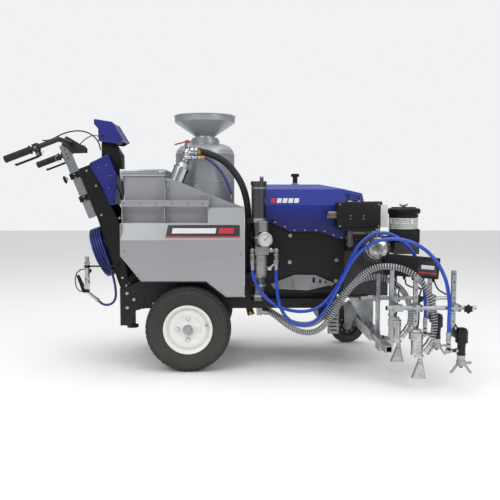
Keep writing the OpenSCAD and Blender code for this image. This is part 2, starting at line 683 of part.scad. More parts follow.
near_bead_route = [[110.5, -196, 262], [128, -196, 262], [150, -200, 255], [176, -211, 240], [206, -228, 218],
  [240, -252, 196], [280, -280, 180], [322, -306, 176], [362, -330, 188], [396, -350, 218], [424, -364, 260],
  [450, -381, 306], [476, -402, 354], [502, -426, 402], [532, -452, 446], [568, -480, 484], [610, -508, 510],
  [656, -536, 518], [702, -562, 512], [746, -584, 492], [786, -602, 456], [814, -614, 408], [831, -625, 352],
  [835, -634, 300], [830, -644, 250], [819, -650, 214], [810, -652, 198], [804.5, -652, 191.5]];
far_bead_route = [[110.5, -130, 262], [128, -130, 262], [150, -135, 254], [182, -152, 236], [224, -182, 216],
  [270, -218, 204], [314, -254, 204], [354, -288, 218], [392, -312, 248], [428, -324, 288], [460, -329, 330],
  [494, -334, 372], [532, -342, 410], [576, -354, 438], [622, -366, 450], [668, -374, 446], [712, -381, 428],
  [750, -374, 401], [780, -356, 365], [799, -353, 318], [806, -358, 272], [800, -366, 230],
  [785, -372, 200], [779.5, -372, 193.5]];
module suction_hose() {
  color("#161617") hose(suction_route, 16.5, 12);
  color("#1c2570") hose(air_route, 6, 8);
}
module paint_hose_near() { color("#2a4fc0") hose(near_paint_route, 8); }
module paint_hose_far() { color("#2a4fc0") hose(far_paint_route, 8); }
module bead_hose_near() { color("#a9b2b8") hose(near_bead_route, 13.5, 10); }
module bead_hose_far() { color("#a9b2b8") hose(far_bead_route, 13.5, 10); }

translate(shift) chassis_frame();
translate(shift) frame_panels();
translate(shift) stand_leg();
translate(shift) tyre_near();
translate(shift) rim_near();
translate(shift) tyre_far();
translate(shift) rim_far();
translate(shift) caster_fork();
translate(shift) caster_wheel();
translate(shift) body_shell();
translate(shift) hopper();
translate(shift) hopper_lid();
translate(shift) bead_tank();
translate(shift) tank_funnel();
translate(shift) neck_valve();
translate(shift) valve_handle();
translate(shift) pump_cylinder();
translate(shift) filter_manifold();
translate(shift) pressure_gauge();
translate(shift) gauge_needle();
translate(shift) drain_lever();
translate(shift) engine_hood();
translate(shift) side_panel();
translate(shift) cover_bolts();
translate(shift) breather_cap();
translate(shift) engine_block();
translate(shift) muffler();
translate(shift) fuel_tank();
translate(shift) air_bowl();
translate(shift) air_cap();
translate(shift) footboard();
translate(shift) foot_pedal();
translate(shift) control_box();
translate(shift) arm_sleeve();
translate(shift) gun_arm();
translate(shift) gun_bars();
translate(shift) gun_posts();
translate(shift) paint_guns();
translate(shift) tip_guard_near();
translate(shift) tip_guard_far();
translate(shift) bead_guns();
translate(shift) knob_near();
translate(shift) knob_far();
translate(shift) console_column();
translate(shift) console_cover();
translate(shift) display_hood();
translate(shift) handle_stem();
translate(shift) handlebar();
translate(shift) grips();
translate(shift) brake_lever();
translate(shift) throttle_lever();
translate(shift) stem_knob();
translate(shift) hose_coil();
translate(shift) spray_gun();
translate(shift) spray_trigger();
translate(shift) suction_hose();
translate(shift) paint_hose_near();
translate(shift) paint_hose_far();
translate(shift) bead_hose_near();
translate(shift) bead_hose_far();
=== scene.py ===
import math

import bmesh
import bpy
from mathutils import Matrix, Vector


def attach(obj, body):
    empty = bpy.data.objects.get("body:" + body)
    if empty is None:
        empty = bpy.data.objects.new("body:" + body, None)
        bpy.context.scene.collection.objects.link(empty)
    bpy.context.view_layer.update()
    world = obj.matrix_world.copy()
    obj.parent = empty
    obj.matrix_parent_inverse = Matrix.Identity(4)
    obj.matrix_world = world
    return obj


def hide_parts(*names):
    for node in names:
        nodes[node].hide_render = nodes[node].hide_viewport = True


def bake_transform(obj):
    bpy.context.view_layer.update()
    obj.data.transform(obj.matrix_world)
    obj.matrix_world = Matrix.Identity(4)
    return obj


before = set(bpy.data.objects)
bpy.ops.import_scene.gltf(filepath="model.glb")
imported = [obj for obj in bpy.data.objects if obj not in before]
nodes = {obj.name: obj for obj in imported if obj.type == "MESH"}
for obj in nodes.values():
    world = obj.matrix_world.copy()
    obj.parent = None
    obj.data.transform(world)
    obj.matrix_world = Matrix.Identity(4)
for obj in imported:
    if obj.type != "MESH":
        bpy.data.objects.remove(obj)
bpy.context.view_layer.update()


# Camera, pale floor and soft studio lights. Nothing here is part of the machine.
# Lengths below are in millimetres from the centre plane and the floor, and at() puts them in the frame.
def at(x, y, z):
    return Vector((x + 60, y + 160, z)) / 1000


def move_to(place):
    return Matrix.Translation(place)


def turn_by(degrees, axis):
    return Matrix.Rotation(math.radians(degrees), 4, axis)


def scale_by(x, y, z):
    return Matrix.Diagonal((x, y, z, 1))


def carry(bm, matrix):
    """Moves the whole of a bmesh."""
    bmesh.ops.transform(bm, matrix=matrix, verts=bm.verts)


view = bpy.data.cameras.new("view")
view.lens, view.sensor_width = 46.8, 36
camera = bpy.data.objects.new("view", view)
camera.location = at(0, -3380, 810)
camera.rotation_euler = (math.radians(85.6), 0, math.radians(-0.9))
bpy.context.collection.objects.link(camera)
bpy.context.scene.camera = camera
bpy.context.scene.view_settings.view_transform = "Standard"


def lamp(name, place, target, size, watts):
    light = bpy.data.lights.new(name, "AREA")
    light.size, light.energy = size, watts
    o = bpy.data.objects.new(name, light)
    o.location = place
    o.rotation_euler = (Vector(target) - Vector(place)).to_track_quat("-Z", "Y").to_euler()
    bpy.context.collection.objects.link(o)


lamp("softbox_left", (-2.2, -3.0, 3.2), (0, 0, 0.5), 2.4, 62)
lamp("softbox_right", (2.6, -2.6, 2.4), (0.1, 0, 0.4), 2.0, 34)
lamp("top_sheet", (0, 0.4, 4.0), (0, 0, 0), 3.2, 50)
sky = bpy.data.worlds.new("pale_room")
sky.use_nodes = True
bpy.context.scene.world = sky


class Surface:
    """One value that varies over a surface: an output socket in a material's nodes."""

    def __init__(self, tree, socket=None):
        self.tree, self.socket = tree, socket

    def node(self, kind, out, stops=(), values=(), **settings):
        n = self.tree.nodes.new(kind)
        for name, value in settings.items():
            setattr(n, name, value)
        for i, (place, colour) in enumerate(stops):
            stop = n.color_ramp.elements[i] if i < 2 else n.color_ramp.elements.new(place)
            stop.position, stop.color = place, colour
        for key, value in dict(values).items():
            if isinstance(value, Surface):
                self.tree.links.new(value.socket, n.inputs[key])
            else:
                n.inputs[key].default_value = value
        return Surface(self.tree, n.outputs[out])

    def maths(self, operation, *others):
        return self.node("ShaderNodeMath", 0, values=enumerate((self, *others)), operation=operation)

    def __add__(self, other):
        return self.maths("ADD", other)

    def __mul__(self, other):
        return self.maths("MULTIPLY", other)

    def __sub__(self, other):
        return self.maths("SUBTRACT", other)

    def __rsub__(self, other):
        return self.node("ShaderNodeMath", 0, values={0: other, 1: self}, operation="SUBTRACT")

    __radd__, __rmul__ = __add__, __mul__

    def between(self, low, high):
        return self.node("ShaderNodeMapRange", 0, values={"Value": self, "From Min": low, "From Max": high})

    def tint(self, first, second):
        return self.node("ShaderNodeMix", 2, values={0: self, 6: first, 7: second}, data_type="RGBA")


room = Surface(sky.node_tree)
upward = room.node("ShaderNodeSeparateXYZ", 2,
                   values={0: room.node("ShaderNodeTexCoord", 0)}).between(-0.15, 0.9)
walls = upward.tint((0.11, 0.11, 0.115, 1), (0.92, 0.92, 0.92, 1))
backdrop = room.node("ShaderNodeLightPath", 0).tint(walls, (0.88, 0.885, 0.9, 1))
sky.node_tree.links.new(backdrop.socket, sky.node_tree.nodes["Background"].inputs["Color"])


def paint(r, g, b):
    """A colour from a paint chart's 0 to 255 numbers."""
    return tuple(((c / 255 + 0.055) / 1.055) ** 2.4 if c > 10 else c / 3295 for c in (r, g, b)) + (1.0,)


def finish(name, colour, rough, metal=0.0, shade=0.72, cloud=7.0, grain=900.0, relief=0.15, dust=0.0,
           stretch=(1, 1, 1), coat=0.0, alpha=1.0, chips=0.0, gloss=0.5, pattern=None):
    """A finish with cloudy colour, fine relief, chipped spots, and dust that gathers low down."""
    m = bpy.data.materials.new(name)
    m.use_nodes = True
    shader = m.node_tree.nodes["Principled BSDF"]
    s = Surface(m.node_tree)
    place = s.node("ShaderNodeTexCoord", "Object")
    clouds = s.node("ShaderNodeTexNoise", 0, values={"Vector": place, "Scale": cloud,
                                                     "Detail": 5.0}).between(0.3, 0.7)
    drawn = s.node("ShaderNodeMapping", 0, values={"Vector": place, "Scale": stretch})
    fine = s.node("ShaderNodeTexNoise", 0, values={"Vector": drawn, "Scale": grain, "Detail": 3.0})
    height = s.node("ShaderNodeSeparateXYZ", 2, values={0: place})
    dark = tuple(c * shade for c in colour[:3]) + (1.0,)
    tone = (clouds * 0.7 + fine * 0.3).tint(colour, dark)
    roughness = rough + (clouds - 0.5) * 0.1 + (fine - 0.5) * 0.1
    if chips:
        spots = s.node("ShaderNodeTexNoise", 0, values={"Vector": place, "Scale": 95.0, "Detail": 4.0,
                                                        "Roughness": 0.7})
        worn = spots.between(0.74 - 0.1 * chips, 0.78 - 0.1 * chips)
        tone = worn.tint(tone, paint(150, 148, 144))
        roughness = roughness + worn * 0.2
    if dust:
        settled = (clouds * 0.6 + 0.4) * (1 - height.between(0.03, 0.62)) * dust
        tone = settled.tint(tone, paint(168, 160, 148))
        roughness = roughness + settled * 0.35
    bumps = fine
    if pattern:
        tone, bumps = pattern(s, place, tone, fine)
    bump = s.node("ShaderNodeBump", 0, values={"Height": bumps, "Strength": relief, "Distance": 0.001})
    for key, value in (("Base Color", tone), ("Roughness", roughness), ("Normal", bump)):
        m.node_tree.links.new(value.socket, shader.inputs[key])
    shader.inputs["Metallic"].default_value = metal
    shader.inputs["Specular IOR Level"].default_value = gloss
    shader.inputs["Coat Weight"].default_value = coat
    shader.inputs["Coat Roughness"].default_value = 0.12
    shader.inputs["Alpha"].default_value = alpha
    return m


def floor_finish():
    return finish("pale_floor", paint(246, 246, 246), 0.75, shade=0.98, cloud=2.0, grain=90.0, relief=0.02)


ground = bmesh.new()
bmesh.ops.create_grid(ground, x_segments=2, y_segments=2, size=14)
mesh = bpy.data.meshes.new("floor")
ground.to_mesh(mesh)
floor = bpy.data.objects.new("floor", mesh)
bpy.context.collection.objects.link(floor)
mesh.materials.append(floor_finish())


# Hoses. Two blue nylon paint hoses and two clear bead hoses with a wire spiral run from the machine to the
# guns. Their ends have pressed sleeves. A black suction hose and a thin blue air hose stay on the frame.
def smooth(points, step=6.0):
    """A soft curve through a route: its points in the frame, about one every step mm."""
    p = [Vector(q) for q in points]
    p = [2 * p[0] - p[1], *p, 2 * p[-1] - p[-2]]
    line = []
    for a, b, c, d in zip(p, p[1:], p[2:], p[3:]):
        n = max(1, round((c - b).length / step))
        for i in range(n):
            t = i / n
            line.append(0.5 * (2 * b + (c - a) * t + (2 * a - 5 * b + 4 * c - d) * t ** 2
                               + (3 * b - a - 3 * c + d) * t ** 3))
    line.append(p[-2])
    return [at(*q) for q in line]


def tube(name, line, radius, material, sides=5):
    """A round tube along a line, as a mesh with its ends closed."""
    curve = bpy.data.curves.new(name, "CURVE")
    curve.dimensions, curve.bevel_depth = "3D", radius
    curve.bevel_resolution, curve.use_fill_caps = sides, True
    spline = curve.splines.new("POLY")
    spline.points.add(len(line) - 1)
    for point, place in zip(spline.points, line):
        point.co = (*place, 1)
    holder = bpy.data.objects.new(name, curve)
    bpy.context.collection.objects.link(holder)
    shape = bpy.data.meshes.new_from_object(holder.evaluated_get(bpy.context.evaluated_depsgraph_get()))
    bpy.data.objects.remove(holder)
    shape.name = name
    shape.materials.clear()
    shape.materials.append(material)
    for face in shape.polygons:
        face.use_smooth = True
    o = bpy.data.objects.new(name, shape)
    bpy.context.collection.objects.link(o)
    return o


def spiral(line, radius, pitch, turns_from=0.012):
    """A helix round a line: its points, pitch metres from turn to turn."""
    out, gone, side = [], 0.0, Vector((0, 1, 0))
    total = sum((b - a).length for a, b in zip(line, line[1:]))
    for a, b in zip(line, line[1:]):
        along = (b - a).normalized()
        side = (side - along * side.dot(along)).normalized()
        other = along.cross(side)
        n = max(1, round((b - a).length / pitch * 10))
        for i in range(n):
            run = gone + (b - a).length * i / n
            if turns_from < run < total - turns_from:
                turn = 2 * math.pi * run / pitch
                out.append(a.lerp(b, i / n) + radius * (math.cos(turn) * side + math.sin(turn) * other))
        gone += (b - a).length
    return out


def woven(s, place, tone, fine):
    """Fine circular ribs from the nylon cover of a hose."""
    bands = s.node("ShaderNodeTexWave", 0, values={"Vector": place, "Scale": 160.0, "Distortion": 2.0,
                                                   "Detail": 2.0})
    return (bands * 0.35).tint(tone, paint(24, 48, 140)), bands * 0.6 + fine * 0.4


blue_nylon = finish("blue_nylon_hose", paint(10, 74, 194), 0.24, shade=0.66, cloud=16.0, relief=0.2,
                    coat=0.25, pattern=woven)
dark_nylon = finish("dark_blue_air_hose", paint(30, 42, 120), 0.42, shade=0.7, cloud=20.0, coat=0.2)
black_rubber = finish("black_hose_rubber", paint(24, 24, 26), 0.55, shade=0.6, grain=500.0, relief=0.3,
                      dust=0.2)
clear_vinyl = finish("clear_grey_vinyl", paint(58, 64, 72), 0.18, shade=0.7, cloud=14.0, relief=0.08,
                     coat=0.8, alpha=0.6)
spring_wire = finish("vinyl_spiral_wire", paint(226, 230, 233), 0.3, relief=0.1)
zinc = finish("zinc_plate", paint(188, 192, 196), 0.27, metal=0.92, shade=0.62, cloud=22.0, grain=700.0,
              relief=0.12, dust=0.15)
brass = finish("worn_brass", paint(190, 150, 84), 0.36, metal=0.9, shade=0.66, cloud=40.0, relief=0.12)

suction_route = [(-205.5, -200, 1042), (-182, -200, 1042), (-146, -198, 1032), (-112, -195, 1018),
                 (-80, -192, 1000), (-50, -188, 974), (-22, -184, 940), (2, -180, 902), (20, -176, 860),
                 (32, -173, 815), (39, -171, 770), (41, -170, 720), (41, -170, 640), (41, -170, 560),
                 (41, -170, 480), (41, -170, 400), (41, -170, 340), (43, -170, 300), (48, -170, 268),
                 (56, -170, 240)]
air_route = [(-189.5, -234, 1012), (-168, -234, 1012), (-135, -232, 992), (-105, -229, 966), (-80, -225, 930),
             (-60, -220, 890), (-45, -214, 850), (-38, -208, 815)]
far_paint_route = [(60, -345, 512.5), (60, -345, 485), (63, -345, 455), (74, -345, 422), (92, -344, 390),
                   (115, -342, 360), (145, -340, 332), (180, -338, 309), (220, -336, 294), (262, -336, 285),
                   (305, -336, 284), (345, -337, 292), (380, -339, 310), (412, -342, 340), (440, -346, 376),
                   (464, -350, 416), (486, -354, 460), (506, -364, 508), (526, -372, 555), (552, -380, 600),
                   (588, -386, 636), (632, -390, 656), (680, -392, 656), (724, -392, 640), (764, -392, 610),
                   (798, -390, 572), (826, -388, 525), (844, -390, 470), (855, -394, 410), (861, -398, 345),
                   (863, -400, 290), (863, -400, 258), (863, -400, 234.5)]
near_paint_route = [(170, -345, 512.5), (170, -345, 480), (171, -347, 440), (174, -350, 400),
                    (180, -354, 352), (191, -358, 308), (210, -361, 272), (237, -364, 245), (270, -366, 229),
                    (306, -368, 226), (342, -370, 238), (374, -374, 264), (402, -380, 302), (428, -390, 350),
                    (452, -404, 402), (476, -420, 456), (502, -438, 514), (534, -462, 566), (574, -490, 606),
                    (622, -520, 632), (674, -550, 640), (724, -578, 634), (770, -604, 614), (812, -626, 580),
                    (846, -642, 534), (868, -662, 480), (880, -672, 420), (884, -679, 360), (883, -680, 300),
                    (883, -680, 256), (883, -680, 222.5)]
near_bead_route = [(110.5, -196, 262), (128, -196, 262), (150, -200, 255), (176, -211, 240), (206, -228, 218),
                   (240, -252, 196), (280, -280, 180), (322, -306, 176), (362, -330, 188), (396, -350, 218),
                   (424, -364, 260), (450, -381, 306), (476, -402, 354), (502, -426, 402), (532, -452, 446),
                   (568, -480, 484), (610, -508, 510), (656, -536, 518), (702, -562, 512), (746, -584, 492),
                   (786, -602, 456), (814, -614, 408), (831, -625, 352), (835, -634, 300), (830, -644, 250),
                   (819, -650, 214), (810, -652, 198), (804.5, -652, 191.5)]
far_bead_route = [(110.5, -130, 262), (128, -130, 262), (150, -135, 254), (182, -152, 236), (224, -182, 216),
                  (270, -218, 204), (314, -254, 204), (354, -288, 218), (392, -312, 248), (428, -324, 288),
                  (460, -329, 330), (494, -334, 372), (532, -342, 410), (576, -354, 438), (622, -366, 450),
                  (668, -374, 446), (712, -377, 428), (750, -371, 400), (780, -356, 364), (799, -353, 318),
                  (806, -358, 272), (800, -366, 230), (785, -372, 200), (779.5, -372, 193.5)]


def rod(bm, a, b, radius, sides=24, end=None):
    """A round bar from a to b, narrowing to another radius if end is given."""
    a, b = Vector(a), Vector(b)
    turn = (b - a).to_track_quat("Z", "Y").to_matrix().to_4x4()
    bmesh.ops.create_cone(bm, cap_ends=True, segments=sides, radius1=radius, radius2=radius
                          if end is None else end, depth=(b - a).length, matrix=move_to((a + b) / 2) @ turn)


def bent_rod(bm, points, radius, sides=24):
    """A rod bent through a list of points."""
    for a, b in zip(points, points[1:]):
        rod(bm, a, b, radius, sides)


def stack(bm, x, y, bands):
    """Round or hexagonal bands on an upright axis, each (low, high, radius, sides) in millimetres."""
    for low, high, radius, sides in bands:
        rod(bm, at(x, y, low), at(x, y, high), radius / 1000, sides)


def bolt_ring(bm, x, y, low, high, ring, angles, radius, sides=6):
    """Bolt heads from low to high in a ring about an upright axis."""
    for angle in angles:
        c, s = ring * math.cos(math.radians(angle)), ring * math.sin(math.radians(angle))
        rod(bm, at(x + c, y + s, low), at(x + c, y + s, high), radius, sides)


def ribs(bm, count, middle, size, start=0, lean=0):
    """Small blocks in a ring about Z, of a size in metres, centred on a place that turns with them."""
    for i in range(count):
        put = turn_by(start + 360 * i / count, "Z") @ move_to(middle) @ turn_by(lean, "Y") @ scale_by(*size)
        bmesh.ops.create_cube(bm, size=1, matrix=put)


crease = math.radians(35)


def piece(name, bm, body, *materials, stand_for=(), slot=None):
    """A finished piece of the machine from a bmesh. Sharper folds than the crease keep their edge."""
    bmesh.ops.recalc_face_normals(bm, faces=bm.faces)
    for edge in bm.edges:
        edge.smooth = edge.is_manifold and edge.calc_face_angle(0) < crease
    for face in bm.faces:
        face.smooth = True
    shape = bpy.data.meshes.new(name)
    bm.to_mesh(shape)
    bm.free()
    for material in materials:
        shape.materials.append(material)
    o = bpy.data.objects.new(name, shape)
    bpy.context.collection.objects.link(o)
    if body:
        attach(o, body)
    if stand_for:
        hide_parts(*stand_for)
    return o


def pressed_sleeve(bm, radius, tip, inner, reach=0.03):
    """A metal sleeve with grip rings on a hose's end, from its tip towards an inner point."""
    along = (inner - tip).normalized()
    rod(bm, tip, tip + along * reach, radius + 0.0016)
    for i in range(4):
        rod(bm, tip + along * reach * (0.2 + 0.2 * i), tip + along * reach * (0.28 + 0.2 * i),
            radius + 0.0026)


def gun_hose(name, route, radius, material, node, bend_from, bend_to, wire=False):
    """A hose from the frame to a gun, with its sleeves and any wire spiral."""
    line = smooth(route)
    hose = tube(name, line, radius, material)
    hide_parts(node)
    extras = []
    if wire:
        extras.append(tube(name + "_spiral", spiral(line, radius, 0.0118), 0.0013, spring_wire, sides=1))
    for end, (tip, inner) in (("frame", (line[0], line[6])), ("rack", (line[-1], line[-7]))):
        bm = bmesh.new()
        pressed_sleeve(bm, radius, tip, inner)
        extras.append(piece(name + "_sleeve_" + end, bm, end, zinc))
    for o in [hose, *extras[:1]] if wire else [hose]:
        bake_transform(o)


def thin_cable(name, route, radius, material, bend=None):
    """A cable from one fitting of the machine to another: on the frame, or left unattached when a bend is
    given.
    """
    line = smooth(route)
    cable = tube(name, line, radius, material, sides=3)
    if bend:
        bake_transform(cable)
    else:
        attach(cable, "frame")


gun_hose("paint_hose_far_line", far_paint_route, 0.008, blue_nylon, "paint_hose_far", at(300, 0, 280),
         at(840, 0, 280))
gun_hose("paint_hose_near_line", near_paint_route, 0.008, blue_nylon, "paint_hose_near",
         at(300, 0, 280), at(860, 0, 280))
gun_hose("bead_hose_near_line", near_bead_route, 0.0135, clear_vinyl, "bead_hose_near", at(250, 0, 280),
         at(780, 0, 280), wire=True)
gun_hose("bead_hose_far_line", far_bead_route, 0.0135, clear_vinyl, "bead_hose_far", at(250, 0, 280),
         at(760, 0, 280), wire=True)

suction_line = smooth(suction_route)
suction = tube("suction_line", suction_line, 0.0165, black_rubber, sides=6)
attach(suction, "frame")
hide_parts("suction_hose")
air_line = smooth(air_route)
air = tube("air_line", air_line, 0.006, dark_nylon)
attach(air, "frame")
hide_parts("suction_hose")
clamps = bmesh.new()
for line, spans, radius in ((suction_line, ((0, 3), (-4, -1)), 0.0178),
                            (air_line, ((0, 4), (-5, -1)), 0.0076)):
    for i, j in spans:
        rod(clamps, line[i], line[j], radius)
worm = at(-196, -218, 1058)
rod(clamps, worm - Vector((0.006, 0, 0)), worm + Vector((0.012, 0, 0)), 0.005, sides=6)
clamps = piece("hose_clamps", clamps, "frame", brass)


# Two pneumatic wheels on a fixed axle: black rubber tyres with a blocky tread, on pressed steel rims in
# warm white paint. Each rim has a rolled edge, a dished disc, a hub with four nuts, a bearing cap and a
# valve stem.
tyre_rubber = finish("tyre_rubber", paint(30, 30, 31), 0.72, shade=0.6, cloud=30.0, grain=420.0, relief=0.5,
                     dust=0.12)
rim_paint = finish("warm_white_rim_paint", paint(236, 236, 233), 0.3, shade=0.92, cloud=12.0, grain=520.0,
                   relief=0.12, dust=0.1, coat=0.3, chips=0.15)
dark_steel = finish("dark_steel", paint(70, 72, 76), 0.45, metal=0.8, shade=0.6, cloud=30.0, dust=0.2)


def colour_since(bm, made, tone):
    """Gives the faces that came after the first so many another of the piece's finishes."""
    bm.faces.ensure_lookup_table()
    for face in bm.faces[made:]:
        face.material_index = tone


def turned(bm, outline, steps=96, closed=True):
    """A solid of revolution about Z from an outline of (radius, height) in millimetres."""
    ring = [bm.verts.new((r / 1000, 0, z / 1000)) for r, z in outline]
    edges = [bm.edges.new(pair) for pair in zip(ring, ring[1:] + ring[:1] if closed else ring[1:])]
    bmesh.ops.spin(bm, geom=ring + edges, cent=(0, 0, 0), axis=(0, 0, 1), angle=2 * math.pi, steps=steps,
                   use_merge=True)
    bmesh.ops.remove_doubles(bm, verts=bm.verts, dist=0.00002)


blocks = 44
tread_rows = ((-42, 15, 191, 0.3), (-23, 15, 198, -0.35), (0, 18, 199.6, 0.35), (23, 15, 198, -0.35),
              (42, 15, 191, 0.3))
for side, near in (("near", 1), ("far", -1)):
    stand = move_to(at(-244, -322 * near, 203)) @ turn_by(90 * near, "X")
    tyre = bmesh.new()
    turned(tyre, [(106, -44), (112, -48), (118, -47), (124, -50), (140, -56), (150, -57.4), (166, -57),
                  (178, -53.5), (187, -47), (195, -38), (199, -20), (200, 0), (199, 20), (195, 38), (187, 47),
                  (178, 53.5), (166, 57), (150, 57.4), (140, 56), (124, 50), (118, 47), (112, 48), (106, 44)])
    for row, (height, wide, radius, lean) in enumerate(tread_rows):
        for i in range(blocks):
            turn = 2 * math.pi * (i + 0.5 * (row % 2)) / blocks
            tilt = math.radians(-38 if height < -30 else 38 if height > 30 else 0)
            put = (Matrix.Rotation(turn, 4, "Z") @ move_to((radius / 1000, 0, height / 1000))
                   @ Matrix.Rotation(-tilt, 4, "Y") @ Matrix.Rotation(lean, 4, "X")
                   @ scale_by(0.0062, 0.0205, wide / 1000))
            bmesh.ops.create_cube(tyre, size=1, matrix=put)
    carry(tyre, stand)
    piece(side + "_tyre_tread", tyre, "wheel_" + side, tyre_rubber, stand_for=["tyre_" + side], slot="tyre")

    rim = bmesh.new()
    turned(rim, [(101, -43.5), (105.7, -43.5), (108, -48), (113, -51), (116, -50), (115.5, -48), (110, -46.5),
                 (105.7, -41), (104, -20), (98, 0), (104, 20), (105.7, 41), (110, 46.5), (115.5, 48),
                 (116, 50), (113, 52), (108, 50), (103, 46), (101, 40), (96, 26), (90, 30), (84, 33.5),
                 (76, 33.5), (66, 30), (58, 25), (46, 22.5), (38, 22.5), (34, 26), (31, 30), (22, 30),
                 (22, 14), (58, 17), (66, 22), (76, 28), (84, 28), (92, 22), (96, 16), (96, 0), (101, -20)])
    rod(rim, (0, 0, -0.04), (0, 0, 0.036), 0.0295, 48)
    rod(rim, (0, 0, 0.036), (0, 0, 0.042), 0.0295, 48, 0.025)
    for i in range(4):
        turn = turn_by(90 * i, "Z")
        rod(rim, turn @ Vector((0.051, 0, 0.02)), turn @ Vector((0.051, 0, 0.0245)), 0.012, 24)
        made = len(rim.faces)
        rod(rim, turn @ Vector((0.051, 0, 0.0245)), turn @ Vector((0.051, 0, 0.034)), 0.0085, 6, 0.0075)
        rod(rim, turn @ Vector((0.051, 0, 0.034)), turn @ Vector((0.051, 0, 0.04)), 0.004, 12)
        colour_since(rim, made, 2)
    made = len(rim.faces)
    rod(rim, (0, 0, 0.042), (0, 0, 0.05), 0.02, 32, 0.017)
    rod(rim, (0, 0, 0.0295), (0, 0, 0.0425), 0.0245, 40, 0.0235)
    rod(rim, (0, 0, 0.05), (0, 0, 0.0535), 0.012, 6)
    rod(rim, (0.09, 0.02, 0.03), (0.082, 0.018, 0.05), 0.004, 16)
    colour_since(rim, made, 2)
    carry(rim, stand)
    piece(side + "_rim_pressing", rim, "wheel_" + side, rim_paint, dark_steel, zinc,
          stand_for=["rim_" + side], slot="rim")


# Welded chassis, stand leg, caster and bracket plates: square tube and folded plate in satin black powder
# coat, with dust low down and bolt heads. The caster wheel has a solid tyre, and its zinc fork carries the
# hub discs.
powder_coat = finish("black_powder_coat", paint(13, 13, 15), 0.4, shade=0.62, cloud=18.0, grain=760.0,
                     relief=0.35, gloss=0.3, dust=0.08, chips=0.15)
zinc_dull = finish("dull_zinc", paint(158, 162, 166), 0.42, metal=0.75, shade=0.6, cloud=26.0, relief=0.25,
                   dust=0.3)


def dress(material, *names):
    """The same finish on solids whose shape is already the real one."""
    for name in names:
        for place in nodes[name].material_slots:
            place.material = material


dress(powder_coat, "chassis_frame", "frame_panels", "stand_leg", "side_panel", "console_column",
      "control_box")
dress(zinc_dull, "caster_fork")
dress(tyre_rubber, "caster_wheel")

pins = bmesh.new()
for y in (-262, 251):
    for x, z in ((-545, 360), (-512, 330), (-545, 290)):
        rod(pins, at(x, y, z), at(x, y + 11, z), 0.0075, 6)
for x in (-490, -420, 430, 470):
    for y in (-241, 240):
        rod(pins, at(x, y - 3, 307), at(x, y + 4, 307), 0.006, 6)
bolt_ring(pins, 650, 285, 350, 356, 22, (30, 150, 270), 0.005)
piece("frame_bolt_heads", pins, "frame", zinc)
hubs = bmesh.new()
rod(hubs, at(610, 240, 100), at(610, 330, 100), 0.012, 6)
for y in (253, 313):
    rod(hubs, at(610, y, 100), at(610, y + 4, 100), 0.024, 32)
for angle in range(0, 360, 45):
    c, s = 40 * math.cos(math.radians(angle)), 40 * math.sin(math.radians(angle))
    rod(hubs, at(610 + c, 277, 100 + s), at(610 + c, 293, 100 + s), 0.005, 10)
piece("caster_hub_disc", hubs, "caster_fork", zinc_dull)


# Body, hopper and lid: folded steel sheet in silver-grey paint, with rivets, rubber edging over the wheels
# and a dark vinyl strip with a red foot. The lid is pressed tread plate with a hinge rod, a hook and a
# chain.
silver_grey = finish("silver_grey_paint", paint(158, 160, 164), 0.36, metal=0.3, shade=0.88, cloud=3.2,
                     grain=1400.0, relief=0.12, dust=0.28, coat=0.3, chips=0.1)
tank_grey = finish("tank_grey_paint", paint(168, 171, 176), 0.3, metal=0.4, shade=0.84, cloud=4.0,
                   grain=1400.0, relief=0.12, coat=0.35)
plate_metal = finish("tread_plate_metal", paint(186, 190, 196), 0.36, metal=0.8, shade=0.78, cloud=12.0,
                     grain=900.0, relief=0.2, stretch=(1, 6, 1))
strip_black = finish("strip_black_vinyl", paint(22, 22, 26), 0.28, shade=0.8, cloud=9.0, relief=0.05,
                     coat=0.5)
strip_red = finish("strip_red_vinyl", paint(190, 26, 34), 0.3, shade=0.85, cloud=9.0, relief=0.05, coat=0.4)
strip_pale = finish("strip_pale_vinyl", paint(214, 214, 218), 0.35, shade=0.9, cloud=9.0, relief=0.05,
                    coat=0.3)
edge_rubber = finish("edge_rubber", paint(20, 20, 21), 0.6, shade=0.6, grain=500.0, relief=0.4)

dress(silver_grey, "body_shell", "hopper")
body_side = 352
dress(tank_grey, "bead_tank", "tank_funnel")


def eased_box(bm, place, size, edge, tone=0):
    """A box of a size in metres centred on a place, with its edges eased by edge mm."""
    old = set(bm.faces)
    made = bmesh.ops.create_cube(bm, size=1, matrix=place @ scale_by(*size))["verts"]
    if edge:
        bmesh.ops.bevel(bm, geom=list({e for v in made for e in v.link_edges}), offset=edge / 1000,
                        offset_type="OFFSET", segments=2, profile=0.5, affect="EDGES", material=-1)
    for face in set(bm.faces) - old:
        face.material_index = tone


def slab(bm, low, high, edge=1.0, tone=0):
    """A box from its lowest to its highest corner, in millimetres, with its edges eased."""
    low, high = at(*low), at(*high)
    eased_box(bm, move_to((low + high) / 2), high - low, edge, tone)


def sheet_piece(bm, outline, y0, y1, edge=0.6, tone=0):
    """A flat outline of (x, z) in millimetres, given thickness from y0 to y1 with eased rims."""
    start = len(bm.faces)
    ring = [bm.verts.new(at(x, y0, z)) for x, z in outline]
    face = bm.faces.new(ring)
    pushed = bmesh.ops.extrude_face_region(bm, geom=[face], use_keep_orig=True)
    moved = [v for v in pushed["geom"] if isinstance(v, bmesh.types.BMVert)]
    bmesh.ops.translate(bm, vec=(0, (y1 - y0) / 1000, 0), verts=moved)
    if edge:
        rims = list({e for v in ring + moved for e in v.link_edges
                     if abs((e.verts[0].co - e.verts[1].co).y) < 1e-6})
        bmesh.ops.bevel(bm, geom=rims, offset=edge / 1000, offset_type="OFFSET", segments=1, profile=0.5,
                        affect="EDGES", material=-1)
    colour_since(bm, start, tone)


